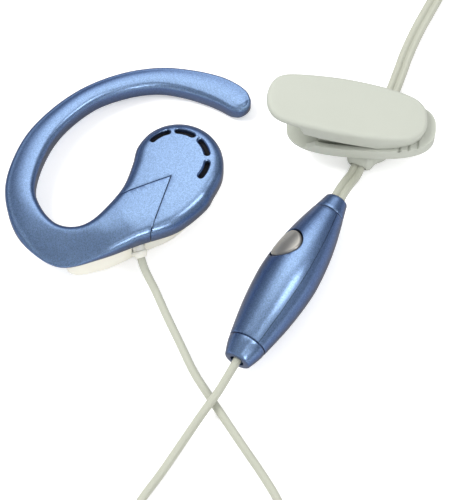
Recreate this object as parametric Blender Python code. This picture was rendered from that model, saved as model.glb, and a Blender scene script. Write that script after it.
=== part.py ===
"""Mono ear-hook headset: earpiece, in-line switch pod, spring clip on the cord, jack plug.

Everything lies on the plane z = 0 as it would on a table. Sizes are in millimetres and are
turned into metres when a mesh is made. X runs to the right, Y away, Z up.
"""
import math

import bmesh
import bpy
import numpy as np
from mathutils import Matrix, Vector

MM = 0.001
GAP = 0.3            # space kept between two pieces that would otherwise touch
SLIT = 0.3           # width of a parting line between two mouldings

# Earpiece
HOOK_SPAN = 60.0     # across the ear hook, for which HOOK_STATIONS is drawn
HEAD_RADIUS = 11.0   # round head that holds the speaker
HEAD_TOP = 13.6      # highest face of the head
COVER_DEPTH = 5.6    # head cover, from its top down to the seam with the rear shell
COVER_WALL = 1.5
SHELL_WALL = 1.1
SHELL_FLOOR = 1.8    # underside of the rear shell under the speaker
OUTER_FILLET = 0.6
INNER_FILLET = 1.5
HEAD_FILLET = 1.8
CUSHION_RADIUS = HEAD_RADIUS - 3.6
DRIVER_RADIUS = HEAD_RADIUS - 4.6   # outside of the speaker frame
DRIVER_DRAWN_RADIUS = 6.4
VENT_RADIUS = HEAD_RADIUS - 3.4     # middle line of the curved vent slots
VENT_WIDTH = 1.25
VENT_SPANS = ((135, 107), (85, 61), (37, 14), (-12, -35))  # degrees, start and end of each slot
GROMMET_END = 1.5    # how far it stands out of the shell's wall
EARPIECE_AT = (-11.1, 10.5)

# Pod with the answer button
POD_LENGTH = 48.8
POD_RADIUS = 7.35
POD_DEPTH = 0.96     # thickness of the pod through its button, as a share of its width
POD_LIFT = 0.992     # height of its axis when it lies on a table, as a share of its radius
POD_WALL = 1.2
POD_AT = (15.75, -18.9)
POD_YAW = -29.9
POD_ROLL = -44.0
POD_SPLIT = 10.0     # degrees that the parting line lies above the pod's middle
LOWER_COLLAR = 5.0
UPPER_COLLAR = 4.4
BUTTON_RADIUS = 4.2
BUTTON_Y = 6.0
BUTTON_PROUD = 0.4
BUTTON_TRAVEL = 0.4
BOARD_TOP = -0.8
BOARD_THICK = 0.8
MIC_RADIUS = 2.0
MIC_Y = -7.0

# Clip
CLIP_AT = (30.6, 22.0)
CLIP_YAW = -4.0
PLATE_LENGTH = 40.6
PLATE_WIDTH = 16.0
PLATE_TOP = 18.5     # height of the top plate over its middle
PLATE_PITCH = 13.0
PLATE_THICK = 1.7
JAW_LENGTH = 36.6
JAW_WIDTH = 15.6
JAW_MIDDLE = 3.7     # the lower jaw's middle, from the clip's middle
JAW_BOTTOM = 6.8
JAW_RIM = 11.1
JAW_FLOOR = 1.6
CLIP_WALL = 1.3
PIN_X = -4.5
PIN_Z = 12.8
PIN_RADIUS = 1.0
SWIVEL_X = 6.2
HOLDER_RADIUS = 6.3
HOLDER_LENGTH = 15.2   # from mouth to mouth
RIVET_RADIUS = 1.4

# Cords
EAR_CORD = 2.0       # diameter of the round cord
TWIN_CORD = 2.6      # round tube that stands for the flat twin cord
TWIN_WIDTH = 3.6
TWIN_THICK = 1.8
CORD_HEADING = -23.5  # of the cord through its holder, from +Y
HOLDER_CORD_Z = 2.35
EAR_COIL_AT = (-3.0, -88.9)
EAR_COIL_RADIUS = 11.0
TWIN_COIL_AT = (44.5, 93.9)
TWIN_COIL_RADIUS = 20.0
TIE_THICK = 0.4
TIE_WIDTH = 3.0

# Plug
PLUG_AT = (25.4, 119.5)
PLUG_RADIUS = 3.2
JACK_RADIUS = 1.25   # 2.5 mm jack

# The ear hook and head as stations along the moulding, from the hook's tip to the neck:
# outer edge x, y; inner edge x, y; height of the top face and of the underside.
HOOK_STATIONS = (
    (17.9, 20.6, 16.6, 19.2, 4.6, 1.6),
    (18.5, 22.3, 14.9, 18.6, 5.0, 1.0),
    (17.3, 24.6, 13.0, 19.4, 5.1, 0.9),
    (14.6, 26.9, 10.2, 21.1, 5.2, 0.9),
    (10.4, 29.0, 6.6, 22.8, 5.3, 0.9),
    (3.5, 30.6, 1.0, 24.6, 5.6, 1.1),
    (-4.8, 31.0, -5.4, 25.3, 6.1, 1.5),
    (-14.6, 28.8, -12.9, 23.7, 6.8, 2.1),
    (-24.4, 23.7, -21.0, 19.7, 7.6, 2.8),
    (-32.8, 16.0, -28.3, 12.2, 8.4, 3.6),
    (-38.5, 7.2, -32.4, 4.0, 9.2, 4.4),
    (-41.5, -4.5, -34.2, -5.0, 9.9, 5.3),
    (-39.4, -15.2, -32.3, -11.2, 10.5, 6.4),
    (-34.5, -22.4, -28.6, -15.7, 11.2, 7.5),
    (-27.0, -26.9, -24.3, -17.1, 12.0, 8.0),
    (-17.5, -25.4, -20.3, -15.9, 12.8, 8.0),
    (-8.5, -21.8, -16.2, -11.8, 13.3, 8.0),
    (0.5, -17.5, -12.6, -6.5, 13.5, 8.0),
    (7.0, -11.9, -10.6, -0.5, 13.6, 8.0),
)
HOOK_DRAWN_SPAN = 60.0
HEAD_AXIS = (0.54, 0.84)          # direction in which the moulding runs into the head
HEAD_STEPS = (-0.18, 0.22, 0.55, 0.8, 0.945, 0.995)  # stations over the head, in head radii
HEAD_MIDDLE = (0.6, -0.1)
SAMPLES = 4                       # rows drawn to each station
SHELL_INSET = 0.2                 # of the rear shell, from the edge of the blue moulding
SHELL_START = 12.7                # station where the rear shell begins
SHELL_FLOORS = (                  # station, height of the underside
    (12.7, 5.6), (13.4, 4.0), (14.3, 2.2), (15.2, SHELL_FLOOR), (25.0, SHELL_FLOOR),
)
SHELL_TAPER = (                   # station, how far the underside draws in from the rim
    (13.0, 1.8), (13.9, 1.4), (14.3, 0.9), (14.8, 0.3), (16.2, 0.1), (16.7, 0.4), (17.2, 0.7),
    (17.6, 1.2), (18.3, 2.2), (24.0, 2.3),
)
VEE = ((-1.0, -4.9), (-16.5, -10.9), (-7.0, -23.8))  # apex and ends of the parting line

POD_PROFILE = (                   # place along the pod, half width
    (-24.4, 3.3), (-21.2, 4.45), (-18.3, 5.05), (-14.2, 5.85), (-10.0, 6.55), (-5.0, 7.1),
    (0.0, 7.35), (5.0, 7.05), (10.0, 6.4), (14.5, 5.5), (18.0, 4.6), (21.0, 3.8), (24.4, 2.9),
)
POD_DRAWN_LENGTH = 48.8
POD_DRAWN_RADIUS = 7.35

PLATE_OUTLINE = (                 # of the clip's upper jaw, round its middle
    (20.4, 1.0), (19.6, 4.2), (16.6, 6.5), (9.6, 7.8), (3.0, 8.2), (-3.4, 8.1), (-12.2, 7.2),
    (-16.9, 5.9), (-19.2, 3.2), (-19.9, -1.0), (-18.7, -4.8), (-15.4, -6.7), (-8.0, -7.5),
    (0.0, -7.7), (8.3, -7.3), (14.6, -6.4), (18.2, -4.8), (20.0, -2.2),
)
PLATE_DRAWN_LENGTH = 40.6
PLATE_DRAWN_WIDTH = 16.0

# Routes of the cords over the table, x, y, z.
EAR_CORD_ROUTE = (
    (-19.35, -11.9, 4.7), (-18.9, -13.3, 3.9), (-18.3, -14.6, 3.0), (-17.4, -16.2, 2.0),
    (-16.2, -18.4, 1.3), (-14.7, -21.8, 1.05), (-13.1, -25.6, 1.05), (-9.8, -32.9, 1.05),
    (-6.5, -40.2, 1.05), (-3.1, -45.9, 1.05), (0.4, -51.5, 1.05), (4.4, -57.9, 1.05),
    (9.5, -65.9, 1.05), (12.9, -72.0, 1.05), (14.7, -77.5, 1.4), (13.9, -81.9, 2.0),
    (11.4, -85.5, 2.4),
)
POD_CORD_ROUTE = (
    (2.5, -41.9, 6.9), (0.9, -44.3, 5.8), (-0.6, -46.5, 4.7), (-2.2, -48.5, 3.75),
    (-4.4, -51.6, 2.7), (-6.9, -55.1, 1.8), (-9.9, -59.4, 1.15), (-14.0, -65.7, 1.05),
    (-18.2, -71.8, 1.05), (-20.6, -76.9, 1.4), (-20.0, -81.7, 2.0), (-17.4, -85.5, 2.4),
)
TWIN_CORD_ROUTE = (
    (28.9, 4.6, 6.7), (30.1, 7.1, 5.5), (31.3, 9.6, 3.8),
    (41.4, 32.2, 2.35), (43.4, 36.9, 2.25), (45.4, 42.5, 1.7), (47.5, 48.5, 1.35),
    (50.3, 55.0, 1.35), (53.0, 60.3, 1.4), (56.0, 65.9, 1.9), (59.6, 72.5, 2.6),
)
TWIN_TAIL_ROUTE = ((45.5, 120.1, 3.0), (41.0, 119.8, 3.2), (36.9, 119.5, 3.4))


def clear_scene():
    for obj in list(bpy.data.objects):
        bpy.data.objects.remove(obj, do_unlink=True)


def finish(name, colour, roughness, metallic):
    """A material with one plain colour."""
    material = bpy.data.materials.new(name)
    material.use_nodes = True
    shader = material.node_tree.nodes["Principled BSDF"]
    shader.inputs["Base Color"].default_value = (*colour, 1.0)
    shader.inputs["Roughness"].default_value = roughness
    shader.inputs["Metallic"].default_value = metallic
    return material


def frame(name, at, yaw=0.0, roll=0.0, parent=None):
    """An empty that carries a group of pieces; roll turns about Y before yaw turns about Z."""
    empty = bpy.data.objects.new(name, None)
    bpy.context.scene.collection.objects.link(empty)
    empty.location = Vector(at) * MM
    empty.rotation_euler = (0.0, math.radians(roll), math.radians(yaw))
    empty.parent = parent
    return empty


def piece(name, bm, material, parent, helper=False):
    """An object made from a bmesh that is already in metres."""
    bmesh.ops.recalc_face_normals(bm, faces=bm.faces)
    mesh = bpy.data.meshes.new(name)
    bm.to_mesh(mesh)
    bm.free()
    mesh.shade_smooth()
    mesh.set_sharp_from_angle(angle=math.radians(35))
    obj = bpy.data.objects.new(name, mesh)
    bpy.context.scene.collection.objects.link(obj)
    obj.parent = parent
    if material:
        mesh.materials.append(material)
    if helper:
        obj.hide_render = True
        obj.display_type = "WIRE"
    return obj


def combine(obj, other, operation):
    modifier = obj.modifiers.new(other.name, "BOOLEAN")
    modifier.operation = operation
    modifier.solver = "EXACT"
    modifier.object = other


def smooth_curve(points, samples):
    """Points along a Catmull-Rom curve through the given points, samples to each stretch."""
    pts = np.array(points, float)
    pts = np.vstack([2 * pts[0] - pts[1], pts, 2 * pts[-1] - pts[-2]])
    found = []
    for p0, p1, p2, p3 in zip(pts, pts[1:], pts[2:], pts[3:]):
        for t in np.linspace(0, 1, samples, endpoint=False):
            found.append(0.5 * (2 * p1 + (p2 - p0) * t + (2 * p0 - 5 * p1 + 4 * p2 - p3) * t**2
                                + (3 * p1 - p0 - 3 * p2 + p3) * t**3))
    found.append(pts[-2])
    return np.array(found)


def even_curve(points, spacing):
    """The same smooth curve, read at an even spacing."""
    fine = smooth_curve(points, 24)
    steps = np.concatenate([[0], np.cumsum(np.linalg.norm(np.diff(fine, axis=0), axis=1))])
    count = max(2, round(steps[-1] / spacing) + 1)
    at = np.linspace(0, steps[-1], count)
    return np.stack([np.interp(at, steps, fine[:, k]) for k in range(3)], axis=1)


def loft(loops, ring=False):
    """A closed body through loops of points; ring joins the last loop to the first."""
    bm = bmesh.new()
    rows = [[bm.verts.new(Vector(p) * MM) for p in loop] for loop in loops]
    pairs = list(zip(rows, rows[1:])) + ([(rows[-1], rows[0])] if ring else [])
    for low, high in pairs:
        for k in range(len(low)):
            after = (k + 1) % len(low)
            bm.faces.new((low[k], low[after], high[after], high[k]))
    if not ring:
        bm.faces.new(rows[0])
        bm.faces.new(rows[-1])
    return bm


def turned(profile, steps=24, closed=False):
    """A body turned about local Z from (radius, height) points; closed profiles make rings."""
    bm = bmesh.new()
    verts = [bm.verts.new((r * MM, 0.0, z * MM)) for r, z in profile]
    edges = [bm.edges.new(pair) for pair in zip(verts, verts[1:])]
    if closed:
        edges.append(bm.edges.new((verts[-1], verts[0])))
    bmesh.ops.spin(bm, geom=verts + edges, cent=(0, 0, 0), axis=(0, 0, 1),
                   angle=2 * math.pi, steps=steps, use_merge=True)
    bmesh.ops.remove_doubles(bm, verts=bm.verts, dist=1e-6)
    return bm


def ring_profile(inner, outer, low, high):
    return ((inner, low), (outer, low), (outer, high), (inner, high))


def disc_profile(radius, low, high):
    return ((0, low), (radius, low), (radius, high), (0, high))


def block(low, high):
    """A box between two corners."""
    corners = [(x, y) for x, y in ((low[0], low[1]), (high[0], low[1]),
                                   (high[0], high[1]), (low[0], high[1]))]
    return loft([[(x, y, z) for x, y in corners] for z in (low[2], high[2])])


def prism(outline, low, high):
    """A flat outline of x, y points between two heights."""
    return loft([[(x, y, z) for x, y in outline] for z in (low, high)])


def side_prism(outline, half_width):
    """An outline of x, z points, as wide as half_width each way along Y."""
    return loft([[(x, y, z) for x, z in outline] for y in (-half_width, half_width)])


def turn(bm, axis, degrees):
    bmesh.ops.rotate(bm, verts=bm.verts, cent=(0, 0, 0),
                     matrix=Matrix.Rotation(math.radians(degrees), 3, axis))
    return bm


# Earpiece ------------------------------------------------------------------------------------

def moulding_stations(samples):
    """Edges and heights of the hook and head, so many rows to each station."""
    scale = HOOK_SPAN / HOOK_DRAWN_SPAN
    rows = [(ox * scale, oy * scale, ix * scale, iy * scale, top, under)
            for ox, oy, ix, iy, top, under in HOOK_STATIONS]
    along = np.array(HEAD_AXIS)
    across = np.array((HEAD_AXIS[1], -HEAD_AXIS[0]))
    under = HEAD_TOP - COVER_DEPTH
    for step in HEAD_STEPS:
        half = HEAD_RADIUS * math.sqrt(1 - step**2)
        middle = np.array(HEAD_MIDDLE) + along * step * HEAD_RADIUS
        bulge = 1 + 0.12 * max(0.0, 0.4 - step)
        outer = middle + across * half * bulge
        inner = middle - across * half
        rows.append((*outer, *inner, HEAD_TOP, under))
    return smooth_curve(rows, samples)


def into_outline(rows):
    """Unit vectors that point into the moulding from its outer edge and from its inner edge."""
    outline = np.vstack([rows[:, 0:2], rows[::-1, 2:4]])
    along = np.roll(outline, -1, axis=0) - np.roll(outline, 1, axis=0)
    inward = np.stack([-along[:, 1], along[:, 0]], axis=1)
    inward /= np.linalg.norm(inward, axis=1)[:, None]
    return inward[:len(rows)], inward[len(rows):][::-1]


def moulded(rows, levels):
    """A body with one outline at several levels: insets of both edges, and heights."""
    into_outer, into_inner = into_outline(rows)
    bm = bmesh.new()
    rings = []
    for outer_inset, inner_inset, height in levels:
        outer = rows[:, 0:2] + into_outer * np.reshape(outer_inset, (-1, 1))
        inner = rows[:, 2:4] + into_inner * np.reshape(inner_inset, (-1, 1))
        places = [*np.column_stack([outer, height]), *np.column_stack([inner, height])[::-1]]
        rings.append([bm.verts.new(Vector(p) * MM) for p in places])
    for low, high in zip(rings, rings[1:]):
        for k in range(len(low)):
            after = (k + 1) % len(low)
            bm.faces.new((low[k], low[after], high[after], high[k]))
    last = len(rings[0]) - 1
    for ring in (rings[0], rings[-1]):
        for k in range(len(rows) - 1):
            bm.faces.new((ring[k], ring[k + 1], ring[last - k - 1], ring[last - k]))
    return bm


def blue_moulding(rows):
    """The hook and head in one: small fillets along the hook that grow round the head."""
    width = np.linalg.norm(rows[:, 0:2] - rows[:, 2:4], axis=1)
    top, under = rows[:, 4], rows[:, 5]
    station = np.arange(len(rows)) / SAMPLES
    rise = top - under
    outer = np.interp(station, (14, 18), (OUTER_FILLET, HEAD_FILLET))
    inner = np.interp(station, (14, 18), (INNER_FILLET, HEAD_FILLET))
    inner = np.minimum(inner, 0.4 * rise)
    inner = np.where(station < 2, np.minimum(inner, 0.3 * width + 0.4), inner)
    foot = 0.15
    flat = np.zeros(len(rows))
    return moulded(rows, (
        (flat + foot, flat + foot, under),
        (flat, flat, under + foot),
        (flat, flat, top - inner),
        (0.29 * outer, 0.29 * inner, top - 0.29 * outer),
        (outer, inner, top),
    ))


def shell_rows(rows, start, narrow):
    """The part of the moulding over the rear shell, drawn to a point at its far end."""
    station = np.arange(len(rows)) / SAMPLES
    kept = rows[station >= start].copy()
    station = station[station >= start]
    middle = (kept[:, 0:2] + kept[:, 2:4]) / 2
    closing = np.clip(1 - (station - start) / narrow, 0, 1) ** 2
    for columns in (slice(0, 2), slice(2, 4)):
        kept[:, columns] += (middle - kept[:, columns]) * 0.85 * closing[:, None]
    return kept, station


def shell_levels(station, wall, rim):
    """Levels of the rear shell, or of its hollow when wall is the shell's own wall."""
    taper = np.interp(station, *zip(*SHELL_TAPER))
    floor = np.interp(station, *zip(*SHELL_FLOORS)) + wall
    corner = 0.5
    flat = np.zeros(len(station)) + SHELL_INSET + wall
    inner_taper = np.minimum(taper, 0.7)
    return (
        (flat + taper + corner, flat + inner_taper + corner, floor),
        (flat + taper, flat + inner_taper, floor + corner),
        (flat, flat, rim),
    )


def vee_zone(margin):
    """The outline of the head cover's side of the parting line, grown by margin."""
    grown = HOOK_SPAN / HOOK_DRAWN_SPAN
    apex, left, low = np.array(VEE[0]), np.array(VEE[1]) * grown, np.array(VEE[2]) * grown
    away = (apex - (left + low) / 2) / np.linalg.norm(apex - (left + low) / 2)
    normals = []
    for end in (left, low):
        run = (end - apex) / np.linalg.norm(end - apex)
        normal = np.array((-run[1], run[0]))
        normals.append(normal if normal @ away > 0 else -normal)
    opening = math.acos(np.clip(normals[0] @ normals[1], -1, 1))
    tip = apex - away * margin / math.cos(opening / 2)
    left = left - normals[0] * margin
    low = low - normals[1] * margin
    far = HEAD_RADIUS + 4.5
    return [tuple(tip), tuple(low), (far, low[1]), (far, far), (left[0], far), tuple(left)]


def build_earpiece(paint):
    blue, white, black, steel, foam, board, copper, film = paint
    head = frame("earpiece", (*EARPIECE_AT, 0.0))
    seam = HEAD_TOP - COVER_DEPTH
    rows = moulding_stations(SAMPLES)

    pocket_radius = HEAD_RADIUS - COVER_WALL - 0.6
    pocket = piece("cutter_pocket", turned(disc_profile(
        pocket_radius, seam - 1, HEAD_TOP - COVER_WALL), 32), None, head, True)
    hook = piece("ear_hook", blue_moulding(rows), blue, head)
    zone = piece("cutter_hook_vee", prism(vee_zone(SLIT / 2), seam - 4, HEAD_TOP + 3),
                 None, head, True)
    combine(hook, zone, "DIFFERENCE")
    combine(hook, pocket, "DIFFERENCE")

    cover = piece("head_cover", blue_moulding(rows), blue, head)
    zone = piece("cutter_cover_vee", prism(vee_zone(-SLIT / 2), seam - 4, HEAD_TOP + 3),
                 None, head, True)
    combine(cover, zone, "INTERSECT")
    combine(cover, pocket, "DIFFERENCE")
    for number, (start, end) in enumerate(VENT_SPANS, 1):
        slot = piece(f"cutter_vent_{number}", vent_slot(start, end, VENT_WIDTH / 2),
                     None, head, True)
        combine(cover, slot, "DIFFERENCE")

    screen_top = HEAD_TOP - COVER_WALL - GAP
    felt = turned(ring_profile(VENT_RADIUS - 1.7, pocket_radius - GAP, screen_top - 0.5,
                               screen_top), 32, closed=True)
    piece("vent_felt", felt, black, head)

    outline, station = shell_rows(rows, SHELL_START, 1.3)
    outside = moulded(outline, shell_levels(station, 0.0, outline[:, 5] - GAP))
    shell = piece("rear_shell", outside, white, head)
    outline, station = shell_rows(rows, SHELL_START + 1.0, 0.6)
    hollow = moulded(outline, shell_levels(station, SHELL_WALL, outline[:, 5] + 1))
    combine(shell, piece("cutter_shell", hollow, None, head, True), "DIFFERENCE")
    mouth = turned(disc_profile(DRIVER_RADIUS - 1.1, 0, SHELL_FLOOR + 3), 32)
    combine(shell, piece("cutter_mouth", mouth, None, head, True), "DIFFERENCE")

    grommet_at, grommet_turn = grommet_place()
    hole = turned(disc_profile(1.35 + GAP, -2.2, 3.0), 16)
    cutter = piece("cutter_grommet", hole, None, head, True)
    grommet = piece("cord_grommet", turned(
        ((0, -1.9), (1.35, -1.9), (1.35, 0.5), (1.55, 0.7), (1.5, 1.1), (1.2, GROMMET_END),
         (0, GROMMET_END)), 16), white, head)
    for obj in (cutter, grommet):
        obj.location = Vector(grommet_at) * MM
        obj.rotation_euler = grommet_turn
    combine(shell, cutter, "DIFFERENCE")

    floor = SHELL_FLOOR + SHELL_WALL
    piece("ear_cushion", turned(
        ((0, 0), (CUSHION_RADIUS - 0.5, 0), (CUSHION_RADIUS, 0.5),
         (CUSHION_RADIUS, 1.0), (CUSHION_RADIUS - 0.5, 1.4), (0, 1.4)), 32), foam, head)
    piece("speaker_grille", turned(disc_profile(DRIVER_RADIUS - 1.1 - GAP, 1.9, 2.5), 28),
          steel, head)
    base = floor + GAP
    grow = DRIVER_RADIUS / DRIVER_DRAWN_RADIUS
    opening = 5.2 * grow
    piece("speaker_frame", turned((
        (opening, base), (DRIVER_RADIUS, base), (DRIVER_RADIUS, base + 1.6),
        (4.6 * grow, base + 2.6), (4.6 * grow, base + 2.0), (opening, base + 1.1)),
        28, closed=True), black, head)
    piece("speaker_diaphragm", turned((
        (0, base + 0.35), (2.6 * grow, base + 0.1), (4.9 * grow, base - 0.05),
        (4.9 * grow, base + 0.15), (2.6 * grow, base + 0.3), (0, base + 0.55)), 28), film, head)
    piece("voice_coil", turned(ring_profile(
        2.35 * grow, 2.65 * grow, base + 0.65, base + 2.1), 28, closed=True), copper, head)
    piece("speaker_magnet", turned(disc_profile(2.0 * grow, base + 0.95, base + 2.4), 24),
          steel, head)
    piece("magnet_yoke", turned((
        (0, base + 2.7), (2.95 * grow, base + 2.7), (2.95 * grow, base + 1.2),
        (4.25 * grow, base + 1.2), (4.25 * grow, base + 3.3), (0, base + 3.3)), 28), steel, head)
    piece("terminal_board", block((-2.4, -1.6, base + 3.6), (2.4, 1.6, base + 4.3)),
          board, head)
    return head


def vent_slot(start, end, half):
    """A curved slot with round ends, through the head cover."""
    points = []
    turn_on = 1 if end > start else -1
    for radius, angles in ((VENT_RADIUS + half, np.linspace(start, end, 6)),
                           (VENT_RADIUS - half, np.linspace(end, start, 6))):
        for angle in np.radians(angles):
            points.append((radius * math.cos(angle), radius * math.sin(angle)))
        cap = math.radians(angles[-1])
        side = 1 if radius > VENT_RADIUS else -1
        for step in (0.25, 0.5, 0.75):
            sweep = math.pi * step
            out = half * math.cos(sweep) * side
            on = half * math.sin(sweep) * side * turn_on
            points.append(((VENT_RADIUS + out) * math.cos(cap) - on * math.sin(cap),
                           (VENT_RADIUS + out) * math.sin(cap) + on * math.cos(cap)))
    return prism(points, HEAD_TOP - COVER_WALL - 1, HEAD_TOP + 1)


def grommet_place():
    """Where the cord leaves the shell's wall, and the turn that points local Z along the cord."""
    first, second = (Vector(p) for p in ear_route()[:2])
    heading = (second - first).normalized()
    at = first - heading * (GROMMET_END + GAP) - Vector((*EARPIECE_AT, 0.0))
    return at, heading.to_track_quat("Z", "Y").to_euler()


# Pod -----------------------------------------------------------------------------------------

def pod_width(y):
    """Half width of the pod at y, from the profile drawn at its drawn length and radius."""
    places, widths = zip(*POD_PROFILE)
    fine = smooth_curve([(p, w, 0.0) for p, w in zip(places, widths)], 6)
    drawn = y * POD_DRAWN_LENGTH / POD_LENGTH
    return float(np.interp(drawn, fine[:, 0], fine[:, 1])) * POD_RADIUS / POD_DRAWN_RADIUS


def pod_loop(y, inset, start, end, count):
    """Points of the pod's oval section at y, from one angle to another."""
    half = pod_width(y) - inset
    depth = pod_width(y) * POD_DEPTH - inset
    angles = np.radians(np.linspace(start, end, count))
    return [(half * math.cos(a), y, depth * math.sin(a)) for a in angles]


def pod_half(side, low, high):
    """Half of the pod's casing: side is +1 for the button's half, -1 for the back."""
    lift = side * SLIT / 2
    loops = []
    start, end = (POD_SPLIT, 180 - POD_SPLIT) if side > 0 else (POD_SPLIT, -180 - POD_SPLIT)
    for y in np.linspace(low, high, 11):
        outer = pod_loop(y, 0.0, start, end, 13)
        inner = pod_loop(y, POD_WALL, end, start, 13)
        loops.append([(x, v, z + lift) for x, v, z in outer + inner])
    return loft(loops)


def collar(low, high, bore, mouth):
    """A tapered end ring of the pod; mouth is the end that the cord leaves by."""
    count = 24
    places = np.linspace(low, high, 4)
    outer = [pod_loop(y, 0.0, 0, 345, count) for y in places]
    tip = 0 if mouth == low else -1
    outer[tip] = pod_loop(places[tip], 0.35, 0, 345, count)
    inner = [[(bore * math.cos(a), y, bore * math.sin(a))
              for a in np.radians(np.linspace(0, 345, count))] for y in (high, low)]
    return loft(outer + inner, ring=True)


def build_pod(paint):
    blue, silver, board_green, black, steel, brass = paint
    lift = POD_RADIUS * POD_LIFT
    pod = frame("pod", (*POD_AT, lift), POD_YAW, POD_ROLL)
    half = POD_LENGTH / 2
    low = -half + LOWER_COLLAR
    high = half - UPPER_COLLAR

    front = piece("pod_front_shell", pod_half(1, low + SLIT / 2, high - SLIT / 2), blue, pod)
    opening = turned(disc_profile(BUTTON_RADIUS + GAP + 0.05, 2.0, POD_RADIUS + 3), 28)
    cutter = piece("cutter_button", opening, None, pod, True)
    cutter.location.y = BUTTON_Y * MM
    combine(front, cutter, "DIFFERENCE")

    back = piece("pod_back_shell", pod_half(-1, low + SLIT / 2, high - SLIT / 2), blue, pod)
    hole = turned(disc_profile(0.6, -POD_RADIUS - 2, -2.0), 12)
    cutter = piece("cutter_sound_hole", hole, None, pod, True)
    cutter.location.y = MIC_Y * MM
    combine(back, cutter, "DIFFERENCE")

    piece("pod_lower_collar", collar(-half, low - SLIT / 2, 1.75, -half), blue, pod)
    piece("pod_upper_collar", collar(high + SLIT / 2, half, 2.0, half), blue, pod)

    board_bottom = BOARD_TOP - BOARD_THICK
    piece("circuit_board", block((-3.6, -12.0, board_bottom), (3.6, 12.0, BOARD_TOP)),
          board_green, pod)
    top = pod_width(BUTTON_Y) * POD_DEPTH + BUTTON_PROUD
    skirt = top - 3.0
    button = piece("answer_button", turned((
        (0, skirt), (BUTTON_RADIUS, skirt), (BUTTON_RADIUS, top - 1.3),
        (BUTTON_RADIUS - 0.45, top - 0.55), (2.2, top - 0.12), (0, top)), 28), silver, pod)
    button.location.y = BUTTON_Y * MM
    housing_top = 2.4
    housing = turned((
        (0, BOARD_TOP + GAP), (3.0, BOARD_TOP + GAP), (3.0, housing_top), (2.0, housing_top),
        (2.0, housing_top - 1.6), (0, housing_top - 1.6)), 16)
    stem = turned(disc_profile(1.7, housing_top - 0.8, skirt - GAP), 16)
    for name, bm, paint_of in (("switch_housing", housing, black), ("switch_stem", stem, steel)):
        piece(name, bm, paint_of, pod).location.y = BUTTON_Y * MM
    mic_top = board_bottom - GAP
    capsule = turned(disc_profile(MIC_RADIUS, mic_top - 2.4, mic_top), 20)
    boot = turned(ring_profile(MIC_RADIUS + GAP, MIC_RADIUS + 0.9, mic_top - 2.2, mic_top - 0.2),
                  20, closed=True)
    for name, bm, paint_of in (("microphone", capsule, steel), ("microphone_boot", boot, black)):
        piece(name, bm, paint_of, pod).location.y = MIC_Y * MM
    for name, y in (("upper_cord_ferrule", 16.2), ("lower_cord_ferrule", -17.2)):
        ferrule = turned(disc_profile(1.9, 0.0, 3.0), 16)
        obj = piece(name, turn(ferrule, "X", -90), brass, pod)
        obj.location.y = y * POD_LENGTH / POD_DRAWN_LENGTH * MM
    return pod


# Clip ----------------------------------------------------------------------------------------

def jaw_outline(inset, count=32):
    """The lower jaw's rounded outline as x, y points."""
    points = []
    for angle in np.linspace(0, 2 * math.pi, count, endpoint=False):
        c, s = math.cos(angle), math.sin(angle)
        x = (JAW_LENGTH / 2 - inset) * math.copysign(abs(c) ** (2 / 2.7), c)
        y = (JAW_WIDTH / 2 - inset) * math.copysign(abs(s) ** (2 / 2.7), s)
        points.append((JAW_MIDDLE + x, y))
    return points


def plate_outline(inset):
    """The upper jaw's outline as x, y points."""
    grow = np.array((PLATE_LENGTH / PLATE_DRAWN_LENGTH, PLATE_WIDTH / PLATE_DRAWN_WIDTH))
    drawn = np.array(PLATE_OUTLINE) * grow
    around = [(x, y, 0.0) for x, y in np.vstack([drawn[-2:], drawn, drawn[:3]])]
    points = smooth_curve(around, 2)[4:-6, 0:2]
    along = np.roll(points, -1, axis=0) - np.roll(points, 1, axis=0)
    inward = np.stack([-along[:, 1], along[:, 0]], axis=1)
    inward /= np.linalg.norm(inward, axis=1)[:, None]
    return [tuple(p) for p in points + inward * inset]


def bevelled_prism(outline, low, high, edge, upward):
    """An outline between two heights with its outer edge rounded at the top or the bottom."""
    steps = ((0.0, edge), (0.3 * edge, 0.3 * edge), (edge, 0.0))
    levels = [(high - a if upward else low + a, b) for a, b in steps]
    loops = [[(x, y, z) for x, y in outline(inset)] for z, inset in levels]
    loops.append([(x, y, low if upward else high) for x, y in outline(0.0)])
    return loft(loops)


def build_clip(paint):
    ivory, steel = paint
    heading = math.radians(CLIP_YAW)
    swivel_at = (CLIP_AT[0] + SWIVEL_X * math.cos(heading),
                 CLIP_AT[1] + SWIVEL_X * math.sin(heading))
    holder_frame = frame("cord_holder_frame", (*swivel_at, 0.0), CORD_HEADING)
    clip = frame("clip", (*CLIP_AT, 0.0), CLIP_YAW)
    build_holder(holder_frame, ivory, steel)
    build_lower_jaw(clip, ivory)
    build_upper_jaw(clip, ivory)
    pin = piece("hinge_pin", turn(turned(disc_profile(PIN_RADIUS, -5.6, 5.6), 20), "X", 90),
                steel, clip)
    spring = piece("clip_spring", turn(turned(
        ring_profile(PIN_RADIUS + GAP + 0.1, PIN_RADIUS + 1.0, -1.7, 1.7), 20, closed=True),
        "X", 90), steel, clip)
    for obj in (pin, spring):
        obj.location = Vector((PIN_X, 0.0, PIN_Z)) * MM
    return clip


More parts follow.
